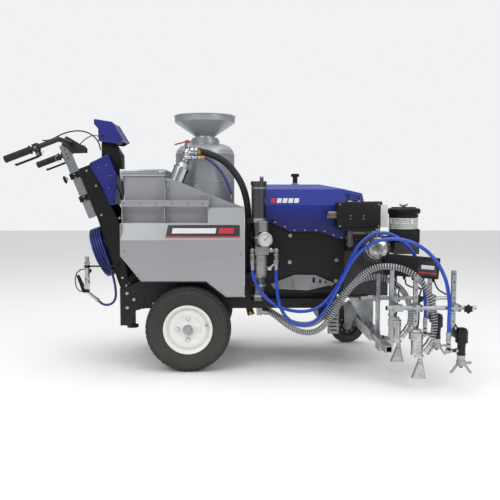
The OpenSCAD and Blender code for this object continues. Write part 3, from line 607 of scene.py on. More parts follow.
for s, hand in ((-1, "near"), (1, "far")):
    strips = bmesh.new()
    for outline, thick, tone in (([(-346, 642), (-336, 698), (0, 698), (0, 642)], 1.0, 0),
                                 ([(-348, 635), (-347, 641), (0, 641), (0, 635)], 1.0, 1),
                                 ([(-318, 656), (-314, 682), (-110, 682), (-114, 656)], 1.5, 2),
                                 ([(-100, 656), (-96, 682), (-26, 682), (-30, 656)], 1.5, 1)):
        sheet_piece(strips, outline, body_side * s - 0.6, body_side * s + thick * s, 0.2, tone)
    lean = move_to(at(0, body_side * s, 623)) @ Matrix.Rotation(math.atan2(32, 79) * s, 4, "X")
    carry(strips, lean @ move_to(-at(0, body_side * s, 623)))
    piece("body_strip_" + hand, strips, "frame", strip_black, strip_red, strip_pale)

seams = bmesh.new()
for s in (-1, 1):
    for x in (-545, -470, -395, -320, -245, -175):
        rod(seams, at(x, s * 306, 794), at(x, s * 308.4, 794), 0.0055, 20, 0.0035)
    for x, z in ((-540, 571), (-474, 462), (-150, 446), (-86, 388), (6, 376), (6, 560)):
        rod(seams, at(x, s * body_side, z), at(x, s * 354.4, z), 0.006, 6, 0.0055)
    for x, z in ((-520, 724), (-400, 724), (-120, 724), (-20, 724), (-340, 860), (-180, 830)):
        rod(seams, at(x, s * 251, z), at(x, s * 253, z), 0.005, 20, 0.0035)
piece("body_rivets", seams, "frame", zinc)

folds = bmesh.new()
for s in (-1, 1):
    slab(folds, (-559.5, s * 306 - 1.5, 779), (-146, s * 306 + 1.5, 783), 0.8)
    slab(folds, (-559.5, s * 306 - 1.5, 805.5), (-146, s * 306 + 1.5, 809.5), 0.8)
    for x in (-559.5, -357, -150):
        slab(folds, (x, s * 306 - 1.5, 779), (x + 4, s * 306 + 1.5, 809), 0.8)
for z in (622, 549):
    slab(folds, (-558, -352.8, z - 1.4), (21, -351.4, z + 1.4), 0.5)
piece("body_folded_rims", folds, "frame", silver_grey)

rubber = bmesh.new()
for s in (-1, 1):
    y = s * body_side
    line = [at(x, y, z) for x, z in ((-459, 427), (-159, 427), (-66, 353), (22, 353))]
    bent_rod(rubber, line, 0.0032, 12)
piece("wheel_arch_edging", rubber, "frame", edge_rubber)

lid = bmesh.new()
slab(lid, (-571, -256, 953.2), (-359, 256, 956), 1.2)
for x0, x1, y0, y1 in ((-571, -359, -256, -253), (-571, -359, 253, 256), (-571, -568, -253, 253),
                       (-362, -359, -253, 253)):
    slab(lid, (x0, y0, 924), (x1, y1, 954), 0.8)
for row in range(19):
    for column in range(9):
        x, y = -559 + 23.5 * column, -246 + 27 * row
        angle = math.radians(45 if (row + column) % 2 else -45)
        put = (move_to(at(x + 6, y + 3, 956)) @ Matrix.Rotation(angle, 4, "Z")
               @ scale_by(0.0095, 0.0026, 0.0011))
        bmesh.ops.create_icosphere(lid, subdivisions=1, radius=1, matrix=put)
made = len(lid.faces)
for s in (-1, 1):
    for column in range(20):
        for row in range(2):
            put = (move_to(at(-560 + 10.2 * column + 4 * row, s * 256, 934 + 12 * row))
                   @ turn_by(50 if row else -50, "Y") @ scale_by(0.0052, 0.0009, 0.0022))
            bmesh.ops.create_icosphere(lid, subdivisions=1, radius=1, matrix=put)
colour_since(lid, made, 1)
rod(lid, at(-357, -240, 928), at(-357, 240, 928), 0.004, 16)
for y in (-200, -60, 60, 200):
    rod(lid, at(-357, y - 22, 928), at(-357, y + 22, 928), 0.0062, 20)
piece("hopper_lid_tread_plate", lid, "lid", plate_metal, dark_steel, stand_for=["hopper_lid"],
      slot="tread_plate")

latch = bmesh.new()
slab(latch, (-384, -258.8, 926), (-366, -256.2, 948), 0.6)
rod(latch, at(-375, -258, 941), at(-375, -264, 941), 0.004, 16)
rod(latch, at(-375, -263, 941), at(-348, -263, 952), 0.0022, 12)
rod(latch, at(-348, -263, 952), at(-338, -263, 944), 0.0022, 12)
piece("lid_latch_hook", latch, "lid", zinc)
catch = bmesh.new()
slab(catch, (-352, -252.4, 880), (-338, -250.8, 906), 0.5)
rod(catch, at(-345, -254, 893), at(-345, -259, 893), 0.0042, 16)
piece("lid_catch", catch, "frame", zinc)
ring = bmesh.new()
slab(ring, (-567, -259, 900), (-553, -256, 921), 0.5)
chain_path = [(-560, -262, 900 - 9 * i) for i in range(14)]
for i, (x, y, z) in enumerate(chain_path):
    turn = turn_by(90 * (i % 2), "Z")
    link = bmesh.new()
    circle = bmesh.ops.create_circle(link, segments=8, radius=0.0011,
                                     matrix=move_to((0.0036, 0, 0)) @ turn_by(90, "X"))
    edges = list({e for v in circle["verts"] for e in v.link_edges})
    bmesh.ops.spin(link, geom=circle["verts"] + edges, cent=(0, 0, 0), axis=(0, 1, 0), angle=2 * math.pi,
                   steps=16, use_merge=True)
    bmesh.ops.remove_doubles(link, verts=link.verts, dist=0.00002)
    carry(link, move_to(at(x, y, z)) @ turn @ scale_by(1, 1, 1.6))
    loose = bpy.data.meshes.new("link")
    link.to_mesh(loose)
    link.free()
    ring.from_mesh(loose)
    bpy.data.meshes.remove(loose)
piece("lid_safety_chain", ring, "frame", zinc)


# Bead tank and funnel: a rolled and welded pressure tank on the frame with a ring of bolts on its neck, and a
# loose spun funnel with a rolled rim and a strainer of crossed wires inside.
tank_x = -178
welds = bmesh.new()
for z, r in ((1040, 150.6), (900, 150.6)):
    turned_ring = bmesh.ops.create_circle(welds, segments=10, radius=0.0022,
                                          matrix=move_to((r / 1000, 0, 0)) @ turn_by(90, "X"))
    geometry = turned_ring["verts"] + list({e for v in turned_ring["verts"] for e in v.link_edges})
    bmesh.ops.spin(welds, geom=geometry, cent=(0, 0, 0), axis=(0, 0, 1), angle=2 * math.pi, steps=96,
                   use_merge=True)
    bmesh.ops.remove_doubles(welds, verts=welds.verts, dist=0.00002)
    new = [v for v in welds.verts if not v.tag]
    bmesh.ops.translate(welds, vec=at(tank_x, 0, z), verts=new)
    for v in welds.verts:
        v.tag = True
bolt_ring(welds, tank_x, 0, 1116, 1121.5, 58, range(0, 360, 60), 0.0055)
piece("tank_weld_seams", welds, "frame", tank_grey)

spun = bmesh.new()
turned(spun, [(46, 1122.5), (66, 1122.5), (66, 1126), (52, 1127), (50, 1134), (60, 1141), (152, 1204),
              (153, 1209), (153.4, 1230), (156.5, 1232), (157, 1235.5), (154, 1238), (150.8, 1236),
              (150.6, 1210), (149, 1206.5), (58, 1144), (46, 1136)])
for i in range(-4, 5):
    half = math.sqrt(max(0, 84 ** 2 - (i * 18) ** 2)) / 1000
    rod(spun, (-half, i * 0.018, 1.162), (half, i * 0.018, 1.162), 0.0011, 6)
    rod(spun, (i * 0.018, -half, 1.164), (i * 0.018, half, 1.164), 0.0011, 6)
carry(spun, move_to(at(tank_x, 0, 0)))
piece("funnel_spinning", spun, "funnel", tank_grey, stand_for=["tank_funnel"], slot="grey_paint")


# Suction neck on the body's sloping cover: a bolted flange, plated elbows with hexagonal nuts, and a ball
# valve with a red dipped handle.
chrome = finish("plated_fitting", paint(200, 204, 208), 0.2, metal=1.0, shade=0.8, cloud=30.0, grain=800.0,
                relief=0.08)
red_dip = finish("red_dipped_handle", paint(186, 24, 30), 0.35, shade=0.75, cloud=30.0, relief=0.2, coat=0.35)
dress(chrome, "neck_valve")
dress(red_dip, "valve_handle")
neck = bmesh.new()
rise = math.atan2(138, 339)
foot = move_to(at(-337 + 35 * math.cos(rise), -200, 916 - 35 * math.sin(rise))) @ Matrix.Rotation(rise, 4,
                                                                                                  "Y")
for angle in range(0, 360, 45):
    c, s = 0.0335 * math.cos(math.radians(angle)), 0.0335 * math.sin(math.radians(angle))
    rod(neck, foot @ Vector((c, s, 0.067)), foot @ Vector((c, s, 0.073)), 0.0042, 6)
for z in (0.096, 0.112):
    rod(neck, foot @ Vector((0, 0, z)), foot @ Vector((0, 0, z + 0.008)), 0.0225, 6)
rod(neck, at(-246, -200, 1042), at(-238, -200, 1042), 0.0245, 6)
rod(neck, at(-222, -200, 1042), at(-216, -200, 1042), 0.0245, 6)
rod(neck, at(-252, -200, 1068), at(-252, -200, 1080), 0.0165, 6)
rod(neck, at(-236, -234, 1012), at(-228, -234, 1012), 0.0125, 6)
rod(neck, at(-207, -234, 1012), at(-200, -234, 1012), 0.0085, 6)
piece("neck_nuts_and_collars", neck, "frame", zinc)
nut = bmesh.new()
rod(nut, at(-252, -200, 1095), at(-252, -200, 1100), 0.008, 6)
piece("valve_handle_nut", nut, "valve_handle", zinc)


# Paint pump and filter group: a ground steel cylinder with clamp collars, a cast manifold with a filter,
# nuts at the two hose outlets, a drain lever, and a dial gauge with a chrome bezel and a glass face.
ground_steel = finish("ground_steel", paint(112, 112, 114), 0.26, metal=1.0, shade=0.66, cloud=9.0,
                      grain=600.0, relief=0.1, stretch=(1, 1, 0.06), dust=0.12)
cast_alloy = finish("cast_aluminium", paint(158, 158, 156), 0.4, metal=0.85, shade=0.6, cloud=26.0,
                    grain=480.0, relief=0.4, dust=0.12)
dress(ground_steel, "pump_cylinder")
dress(cast_alloy, "filter_manifold")
dress(chrome, "drain_lever")

collars = bmesh.new()
stack(collars, 90, -280, [(z, z + 9, 36.2, 48) for z in (349, 400, 628, 862)])
for z in (450, 710):
    stack(collars, 90, -280, [(z - 6, z + 14, 36.8, 48)])
    slab(collars, (82, -320, z - 6), (98, -314, z + 14), 0.6)
    rod(collars, at(76, -318, z + 4), at(104, -318, z + 4), 0.004, 12)
rod(collars, at(104, -280, 912), at(104, -280, 921), 0.0105, 6)
for x in (60, 170):
    stack(collars, x, -345, ((512, 518, 10.5, 6), (520, 527, 12.5, 6), (551, 559, 11.8, 6)))
stack(collars, 108, -340, ((592, 598, 12.5, 6), (600, 606, 12.5, 6), (664, 670, 26.2, 40),
                           (704, 710, 26.2, 40)))
stack(collars, 100, -345, [(z, z + 3, 27.7, 40) for z in range(466, 548, 8)])
rod(collars, at(78, -345, 573), at(84, -345, 573), 0.012, 6)
rod(collars, at(140, -345, 573), at(150, -345, 573), 0.0125, 6)
piece("pump_collars_and_nuts", collars, "frame", zinc)


dial_face = finish("gauge_dial_face", paint(206, 206, 202), 0.5, shade=0.95, relief=0.02)
ink = finish("printed_ink_black", paint(24, 24, 26), 0.5, shade=0.9, relief=0.02)
lens = finish("gauge_glass", paint(235, 238, 240), 0.06, shade=1.0, relief=0.0, alpha=0.12, coat=1.0)
dress(chrome, "pressure_gauge")
dress(ink, "gauge_needle")
dial = bmesh.new()
centre = at(117, -376.2, 626)
rod(dial, centre, centre + Vector((0, 0.0012, 0)), 0.0304, 64)
for i in range(41):
    angle = math.radians(225 - 270 * i / 40)
    long, wide = (0.0055, 0.0009) if i % 5 == 0 else (0.003, 0.0005)
    put = (move_to(centre) @ Matrix.Rotation(-angle, 4, "Y") @ move_to((0.0265 - long / 2, -0.0002, 0))
           @ scale_by(long, 0.0006, wide))
    for v in bmesh.ops.create_cube(dial, size=1, matrix=put)["verts"]:
        for face in v.link_faces:
            face.material_index = 1
piece("gauge_dial", dial, "frame", dial_face, ink)
rim_ring = bmesh.new()
turned(rim_ring, [(30.4, -2), (33.8, -2), (35.2, 0), (35.2, 5), (33.6, 7), (31.2, 6.5), (30.2, 4)], 64)
carry(rim_ring, move_to(at(117, -380, 626)) @ turn_by(90, "X"))
piece("gauge_bezel", rim_ring, "frame", chrome)
glass = bmesh.new()
turned(glass, [(0, 0), (30.4, 0), (30.4, 0.8), (18, 1.6), (0, 1.9)], 48, closed=False)
carry(glass, move_to(at(117, -384.5, 626)) @ turn_by(90, "X"))
piece("gauge_glass_face", glass, "frame", lens)


# Engine hood and side covers: pressed steel in royal blue over black lower panels, with plated cover
# screws, a black hem, a plain row of one red and four pale marks, and the ribbed cap of the hydraulic tank.
def painted_side_shade(s, place, tone, fine):
    """Painted shade on the blue paint: it darkens from the crown down the side, where less light falls."""
    height = s.node("ShaderNodeSeparateXYZ", 2, values={0: place})
    painted_shade = (1 - height.between(0.70, 0.80)) * 0.7
    return painted_shade.tint(tone, paint(10, 13, 66)), fine


# The royal blue carries painted shade: its pattern darkens the hood from the crown down its sides.
royal_blue = finish("royal_blue_paint", paint(18, 38, 142), 0.3, shade=0.8, cloud=3.5, grain=1300.0,
                    relief=0.12, coat=0.16, pattern=painted_side_shade)
cover_blue = finish("console_blue_paint", paint(20, 30, 124), 0.34, shade=0.78, cloud=4.0, grain=1300.0,
                    relief=0.12, coat=0.14, chips=0.1)
black_plastic = finish("moulded_black_plastic", paint(14, 14, 16), 0.46, shade=0.7, cloud=20.0, grain=1100.0,
                       relief=0.4, gloss=0.3)
dress(royal_blue, "engine_hood")
hood_side = 240
dress(cover_blue, "console_cover", "display_hood")
dress(zinc, "cover_bolts")
dress(black_plastic, "breather_cap")

for s, hand in ((-1, "near"), (1, "far")):
    marks = bmesh.new()
    for x0, x1, tone in ((150, 172, 1), (178, 200, 0), (206, 228, 0), (234, 256, 0), (262, 284, 0)):
        sheet_piece(marks, [(x0, 797), (x0 + 4, 822), (x1 + 4, 822), (x1, 797)], hood_side * s - 0.6,
                    hood_side * s + s, 0.2, tone)
    lean = move_to(at(0, hood_side * s, 785)) @ Matrix.Rotation(math.atan2(38, 77) * s, 4, "X")
    carry(marks, lean @ move_to(-at(0, hood_side * s, 785)))
    piece("hood_plain_strip_" + hand, marks, "frame", strip_pale, strip_red)

trim = bmesh.new()
for s in (-1, 1):
    y = s * (hood_side + 0.5)
    lower = [at(x, y, z) for x, z in ((118, 716), (240, 656), (388, 654), (470, 621), (505, 613), (512, 641),
                                      (600, 700))]
    bent_rod(trim, lower, 0.0036, 12)
    for x in (150, 560):
        slab(trim, (x, y - 1.6, 706 if x < 200 else 722), (x + 26, y + 1.6, 716 if x < 200 else 732), 0.6)
    for x, z in ((163, 711), (573, 727)):
        rod(trim, at(x, y - s * 1, z), at(x, y + s * 3.4, z), 0.003, 16)
    sheet_piece(trim, [(380, 636), (380, 660), (472, 628), (508, 620), (508, 602), (470, 610)], s * 236 - 3,
                s * 236 + 3)
piece("hood_lower_hem", trim, "frame", black_plastic)
for_cap = bmesh.new()
turned(for_cap, [(0, 0), (19.4, 0), (19.8, 2), (19.8, 11), (18, 14), (12, 15.5), (0, 15.8)], 24, closed=False)
ribs(for_cap, 24, (0.0198, 0, 0.006), (0.0016, 0.002, 0.010))
carry(for_cap, move_to(at(278, -100, 926)))
piece("breather_cap_ribs", for_cap, "breather_cap", black_plastic)
stem = bmesh.new()
rod(stem, at(278, -100, 886), at(278, -100, 891), 0.018, 32)
rod(stem, at(278, -100, 891), at(278, -100, 896), 0.0145, 6)
piece("breather_neck_nut", stem, "frame", zinc)

covers = bmesh.new()
for s in (-1, 1):
    for x in (127, 500):
        slab(covers, (x, s * hood_side - 1.4, 360), (x + 5, s * hood_side + 1.4, 700 if x < 200 else 606),
             0.5)
    slab(covers, (127, s * hood_side - 1.4, 358), (505, s * hood_side + 1.4, 364), 0.5)
    for z in (455, 468, 481, 494, 507):
        if s > 0:
            slab(covers, (330, s * hood_side - 2.4, z), (430, s * hood_side + 2.4, z + 5), 0.6)
piece("side_cover_folds", covers, "frame", powder_coat)


# Engine: an air-cooled single in cast aluminium with cooling fins and a bright recoil cowl, a black muffler
# box with louvres and a steel outlet, a white fuel tank, and an air cleaner with a clear bowl, foam and a
# wing nut.
engine_alloy = finish("sand_cast_engine_alloy", paint(84, 84, 86), 0.42, metal=0.7, shade=0.55, cloud=30.0,
                      grain=420.0, relief=0.5, dust=0.06)
bright_alloy = finish("bright_cast_alloy", paint(216, 216, 214), 0.24, metal=0.8, shade=0.55, cloud=34.0,
                      grain=420.0, relief=0.35)
muffler_black = finish("heat_black_paint", paint(15, 15, 16), 0.52, shade=0.62, cloud=24.0, grain=520.0,
                       relief=0.45, chips=0.35, gloss=0.3)
exhaust_steel = finish("heat_tinted_steel", paint(126, 120, 112), 0.34, metal=0.9, shade=0.6, cloud=30.0,
                       relief=0.2)
tank_white = finish("moulded_white_tank", paint(226, 226, 220), 0.4, shade=0.92, cloud=10.0, relief=0.2)
clear_bowl = finish("clear_bowl_plastic", paint(226, 230, 226), 0.15, shade=0.94, relief=0.05, alpha=0.42,
                    coat=0.7)
foam = finish("filter_foam", paint(206, 204, 192), 0.9, shade=0.7, cloud=60.0, grain=260.0, relief=0.9)
dress(engine_alloy, "engine_block")
dress(tank_white, "fuel_tank")
dress(clear_bowl, "air_bowl")
dress(black_plastic, "air_cap")

fins = bmesh.new()
for i in range(9):
    slab(fins, (540, -158, 566 + 9 * i), (716, -150.5, 569 + 9 * i), 0.6)
    slab(fins, (700, -150, 566 + 9 * i), (712, 110, 569 + 9 * i), 0.6)
for x in (524, 736):
    for y in (-140, 0, 140):
        rod(fins, at(x, y, 332), at(x, y, 342), 0.008, 6)
turned_cowl = bmesh.new()
turned(turned_cowl, [(70, 0), (74, -4), (73, -40), (66, -54), (50, -62), (44, -84), (28, -90), (14, -86),
                     (0, -86), (0, -62), (40, -62), (60, -46), (66, -10)], 64)
ribs(turned_cowl, 20, (0.0585, 0, -0.0568), (0.016, 0.0045, 0.004), lean=38)
carry(turned_cowl, move_to(at(673, -146, 573)) @ turn_by(-90, "X"))
piece("recoil_cowl", turned_cowl, "frame", bright_alloy)
for x, z in ((600, 610), (600, 585)):
    rod(fins, at(x, -160, z), at(x, -172, z), 0.007, 6)
rod(fins, at(616, -150, 604), at(616, -186, 604), 0.011, 24)
rod(fins, at(616, -186, 604), at(628, -204, 622), 0.0055, 16)
piece("engine_fins_and_plugs", fins, "frame", engine_alloy)
thin_cable("spark_lead", [(628, -204, 622), (636, -208, 634), (650, -204, 642), (664, -190, 640),
                          (672, -172, 630), (676, -158, 618)], 0.0035, edge_rubber)

shield = bmesh.new()
slab(shield, (459, -330, 676), (664, -244, 800), 6)
slab(shield, (480, -336, 664), (640, -300, 677), 3)
slab(shield, (520, -200, 560), (560, -150, 614), 3)
for i in range(9):
    slab(shield, (500 + 16 * i, -322, 799), (508 + 16 * i, -252, 803), 1)
piece("muffler_shield", shield, "frame", muffler_black, stand_for=["muffler"], slot="black_steel")
rivets = bmesh.new()
for x, z in ((520, 722), (520, 736), (582, 722), (582, 736)):
    rod(rivets, at(x, -329, z), at(x, -332, z), 0.0042, 16, 0.003)
for x in (470, 653):
    for z in (687, 789):
        rod(rivets, at(x, -329, z), at(x, -333, z), 0.0045, 6)
piece("muffler_rivets", rivets, "frame", zinc)
outlet = bmesh.new()
turned(outlet, [(17, 0), (17, 38), (18.2, 40), (20.4, 39), (20.6, 36), (20, 0)], 48)
carry(outlet, move_to(at(459, -290, 737)) @ turn_by(-90, "Y"))
rod(outlet, at(526, -294, 600), at(526, -160, 600), 0.0146, 32)
rod(outlet, at(526, -280, 600), at(526, -280, 676), 0.0146, 32)
rod(outlet, at(526, -174, 600), at(526, -166, 600), 0.024, 32)
rod(outlet, at(526, -280, 668), at(526, -280, 676), 0.022, 32)
piece("exhaust_outlet_and_pipe", outlet, "frame", exhaust_steel)

tank_trim = bmesh.new()
slab(tank_trim, (670.5, -191.5, 727), (729.5, 61.5, 732), 1.2)
turned_cap = bmesh.new()
turned(turned_cap, [(0, 0), (26, 0), (28, 2), (28, 15), (24, 19), (12, 20.5), (0, 20.8)], 48, closed=False)
ribs(turned_cap, 30, (0.028, 0, 0.008), (0.002, 0.0025, 0.012))
carry(turned_cap, move_to(at(700, -60, 783)))
piece("fuel_cap", turned_cap, "frame", black_plastic)
piece("fuel_tank_seam", tank_trim, "frame", tank_white)

cleaner = (815, -150)
base = bmesh.new()
slab(base, (758, -217, 600), (882, -83, 668), 5)
slab(base, (768, -219, 612), (872, -216, 656), 2)
for x in (770, 870):
    for z in (608, 660):
        rod(base, at(x, -216, z), at(x, -220, z), 0.004, 6)
piece("air_cleaner_base", base, "frame", black_plastic)
element = bmesh.new()
turned(element, [(14, 672), (64, 672), (66, 676), (66, 716), (64, 720), (14, 720)], 64)
carry(element, move_to(at(*cleaner, 0)))
piece("air_foam_element", element, "frame", foam)
bowl = bmesh.new()
for z, r in ((668, 73.6), (693, 72.8), (717, 73.4)):
    turned(bowl, [(r - 1.5, z), (r, z + 0.6), (r, z + 2.6), (r - 1.5, z + 3.2)], 72)
ribs(bowl, 4, (0.0732, 0, 0.706), (0.004, 0.012, 0.026), start=20)
carry(bowl, move_to(at(*cleaner, 0)))
piece("air_bowl_bands", bowl, "frame", tank_white)
cap = bmesh.new()
turned(cap, [(0, 722), (68, 722), (72, 726), (72, 741), (80, 744), (81.2, 747), (81, 763), (77, 768),
             (62, 771), (58, 775.5), (8, 776), (7, 783), (0, 783)], 72, closed=False)
ribs(cap, 36, (0.0812, 0, 0.7555), (0.0026, 0.005, 0.012))
carry(cap, move_to(at(*cleaner, 0)))
piece("air_cleaner_cap", cap, "air_cap", black_plastic, stand_for=["air_cap"], slot="black_plastic")
wing = bmesh.new()
rod(wing, at(*cleaner, 777), at(*cleaner, 787), 0.0065, 20, 0.0045)
for s in (-1, 1):
    bmesh.ops.create_uvsphere(wing, u_segments=16, v_segments=10, radius=1,
                              matrix=move_to(at(815 + 13 * s, -150, 786)) @ turn_by(-35 * s, "Y")
                              @ scale_by(0.0105, 0.0018, 0.006))
piece("air_cap_wing_nut", wing, "air_cap", zinc)


# Footboard and pedal: a grey pressed footplate with a rib and bolts, and a galvanised pedal with rows of grip
# studs between two folded edges.
foot_grey = finish("grey_footplate_paint", paint(136, 138, 142), 0.5, metal=0.2, shade=0.7, cloud=12.0,
                   relief=0.25, dust=0.35, chips=0.5)
dress(foot_grey, "footboard")
dress(zinc_dull, "foot_pedal")
rib = bmesh.new()
sheet_piece(rib, [(176, 402), (268, 443), (366, 441), (440, 403), (366, 436), (270, 438)], -257.5, -256, 0.4)
for x, z in ((196, 398), (444, 400), (300, 436)):
    rod(rib, at(x, -256, z), at(x, -260, z), 0.006, 6)
piece("footboard_rib", rib, "frame", foot_grey)
grip_rows = bmesh.new()
for row in range(5):
    for x in (428, 472):
        rod(grip_rows, at(x, -287.4, 183 + 18 * row), at(x, -289.6, 183 + 18 * row), 0.003, 12, 0.0018)
for x in (424, 476):
    slab(grip_rows, (x - 1.2, -290, 168), (x + 1.2, -285, 274), 0.5)
piece("pedal_grip_edges", grip_rows, "pedal", zinc_dull)


# Control box: a moulded black case on a bracket, with a seam, corner screws, cable glands underneath and a
# plain strip with a red line. Thin black signal cables leave it, held by ties, and run to the four guns.
tilt = move_to(at(783, -450, 509)) @ turn_by(5, "Y")
box = bmesh.new()
box_parts = (((-121, -20, -48), (121, 20, 48), 3.0, 0),
             ((-121.4, -13, -48.4), (121.4, -10.5, 48.4), 0.8, 0),
             ((20, -21, -36), (112, -19.6, 30), 0.4, 1),
             ((36, -21.8, -6), (96, -20.4, 12), 0.3, 2),
             ((26, -21.8, -26), (108, -20.4, -20), 0.3, 3))
for low, high, edge, tone in box_parts:
    middle = Vector((a + b for a, b in zip(low, high))) / 2000
    eased_box(box, tilt @ move_to(middle), [(b - a) / 1000 for a, b in zip(low, high)], edge, tone)
for x, z in ((-104, -39), (-104, 39), (112, -39), (112, 39)):
    rod(box, tilt @ Vector((x / 1000, -0.0195, z / 1000)), tilt @ Vector((x / 1000, -0.0214, z / 1000)),
        0.0042, 20, 0.0034)
slab(box, (700, -430.5, 500), (720, -206, 516))
slab(box, (700, -226, 516), (720, -206, 530))
gland_spots = [(-70, -52), (-30, -52), (10, -52), (104, -52)]
for x, z in gland_spots:
    rod(box, tilt @ Vector((x / 1000, 0, -0.047)), tilt @ Vector((x / 1000, 0, -0.057)), 0.0075, 6)
    rod(box, tilt @ Vector((x / 1000, 0, -0.057)), tilt @ Vector((x / 1000, 0, -0.064)), 0.006, 20, 0.0032)
piece("control_box_case", box, "frame", black_plastic, strip_black, strip_pale, strip_red,
      stand_for=["control_box"], slot="black_plastic")
near_bend = ("frame", "rack", at(0, -451, 0), at(0, -600, 0))
far_bend = ("frame", "rack", at(0, 0, 448), at(0, 0, 396))
thin_cable("signal_cable_near_paint", [(887, -450, 440), (889, -462, 426), (892, -500, 408), (900, -580, 400),
                                       (912, -626, 398), (916, -630, 380), (917, -630, 330), (920, -634, 290),
                                       (930, -646, 266), (940, -655, 262)], 0.0034, edge_rubber,
           near_bend)
thin_cable("signal_cable_near_bead", [(794, -450, 446), (796, -456, 436), (800, -480, 424), (796, -540, 420),
                                      (782, -610, 424), (772, -630, 410), (768, -630, 370), (768, -632, 320),
                                      (764, -640, 280), (756, -650, 259)], 0.0034, edge_rubber,
           near_bend)
thin_cable("signal_cable_far_paint", [(754, -450, 450), (755, -446, 440), (770, -420, 420), (820, -390, 400),
                                      (872, -362, 392), (888, -350, 370), (906, -352, 320), (914, -364, 288),
                                      (922, -376, 274)], 0.0034, edge_rubber, far_bend)
thin_cable("signal_cable_far_bead", [(714, -450, 453), (714, -446, 443), (716, -420, 420), (742, -396, 402),
                                     (748, -362, 390), (746, -352, 350), (742, -352, 300), (736, -364, 272),
                                     (730, -372, 261)], 0.0034, edge_rubber, far_bend)
ties = bmesh.new()
for x, y, z in ((917, -630, 352), (768, -632, 352)):
    slab(ties, (x - 5, y - 6, z - 2), (x + 5, y + 12, z + 2), 1)
piece("cable_ties", ties, "rack", edge_rubber)


# Gun rack: a square sleeve under the frame with a sliding square arm, uprights, two round bars and four
# clamped posts, all zinc plated, with setscrews, rubber end plugs and two black star knobs.
near_bar, far_bar = -660, -380
dress(zinc, "arm_sleeve", "gun_arm", "gun_bars", "gun_posts", "handle_stem")
screws = bmesh.new()
for p, y, low, high in ((915, near_bar, 226, 509), (752, near_bar, 262, 486), (895, far_bar, 250, 440),
                        (727, far_bar, 262, 440)):
    for x in (p - 14, p + 14):
        for z in (343, 363):
            rod(screws, at(x, y - 14, z), at(x, y - 19, z), 0.0038, 6)
    rod(screws, at(p + 9, y + 28, low + 8), at(p + 14, y + 28, low + 8), 0.004, 6)
    for z in range(int(low) + 30, int(high) - 10, 34):
        if abs(z - 353) > 22:
            rod(screws, at(p, y + 19.6, z), at(p, y + 19, z), 0.0035, 16)
for x, y, z in ((640, -520, 198), (640, -398, 430), (666, -519, 480), (666, -519, 300)):
    rod(screws, at(x - 4, y, z), at(x + 6, y, z + 0.01), 0.0045, 6)
rod(screws, at(640, -520, 194), at(640, -520, 206), 0.006, 6)
piece("rack_setscrews", screws, "rack", dark_steel)
caps = bmesh.new()
rod(caps, at(619, near_bar, 353), at(624, near_bar, 353), 0.0094, 24)
rod(caps, at(558, far_bar, 353), at(563, far_bar, 353), 0.0094, 24)
rod(caps, at(978, far_bar, 353), at(983, far_bar, 353), 0.0094, 24)
piece("bar_end_plugs", caps, "rack", edge_rubber)


def star_knob(name, node, body, centre, axis):
    """A black star knob with six rounded lobes, a domed top and a plated stud."""
    bm = bmesh.new()
    turned(bm, [(0, 14), (6, 13.4), (11, 12), (15.6, 8), (16, 4), (15, 0), (0, 0)], 36, closed=False)
    for i in range(6):
        turn = turn_by(60 * i + 30, "Z")
        bmesh.ops.create_uvsphere(bm, u_segments=16, v_segments=10, radius=1,
                                  matrix=turn @ move_to((0.0142, 0, 0.0068)) @ scale_by(0.0062, 0.0056,
                                                                                        0.0064))
    rod(bm, (0, 0, -0.008), (0, 0, 0.001), 0.0078, 24)
    made = len(bm.faces)
    rod(bm, (0, 0, 0.0135), (0, 0, 0.0148), 0.0036, 16)
    colour_since(bm, made, 1)
    turn = Vector(axis).to_track_quat("Z", "Y").to_matrix().to_4x4()
    carry(bm, move_to(centre) @ turn)
    piece(name, bm, body, black_plastic, zinc, stand_for=[node], slot="black_plastic")


star_knob("rack_star_knob_near", "knob_near", "knob_near", at(960, -684.5, 353), (0, -1, 0))
star_knob("rack_star_knob_far", "knob_far", "knob_far", at(830, -404.5, 353), (0, -1, 0))


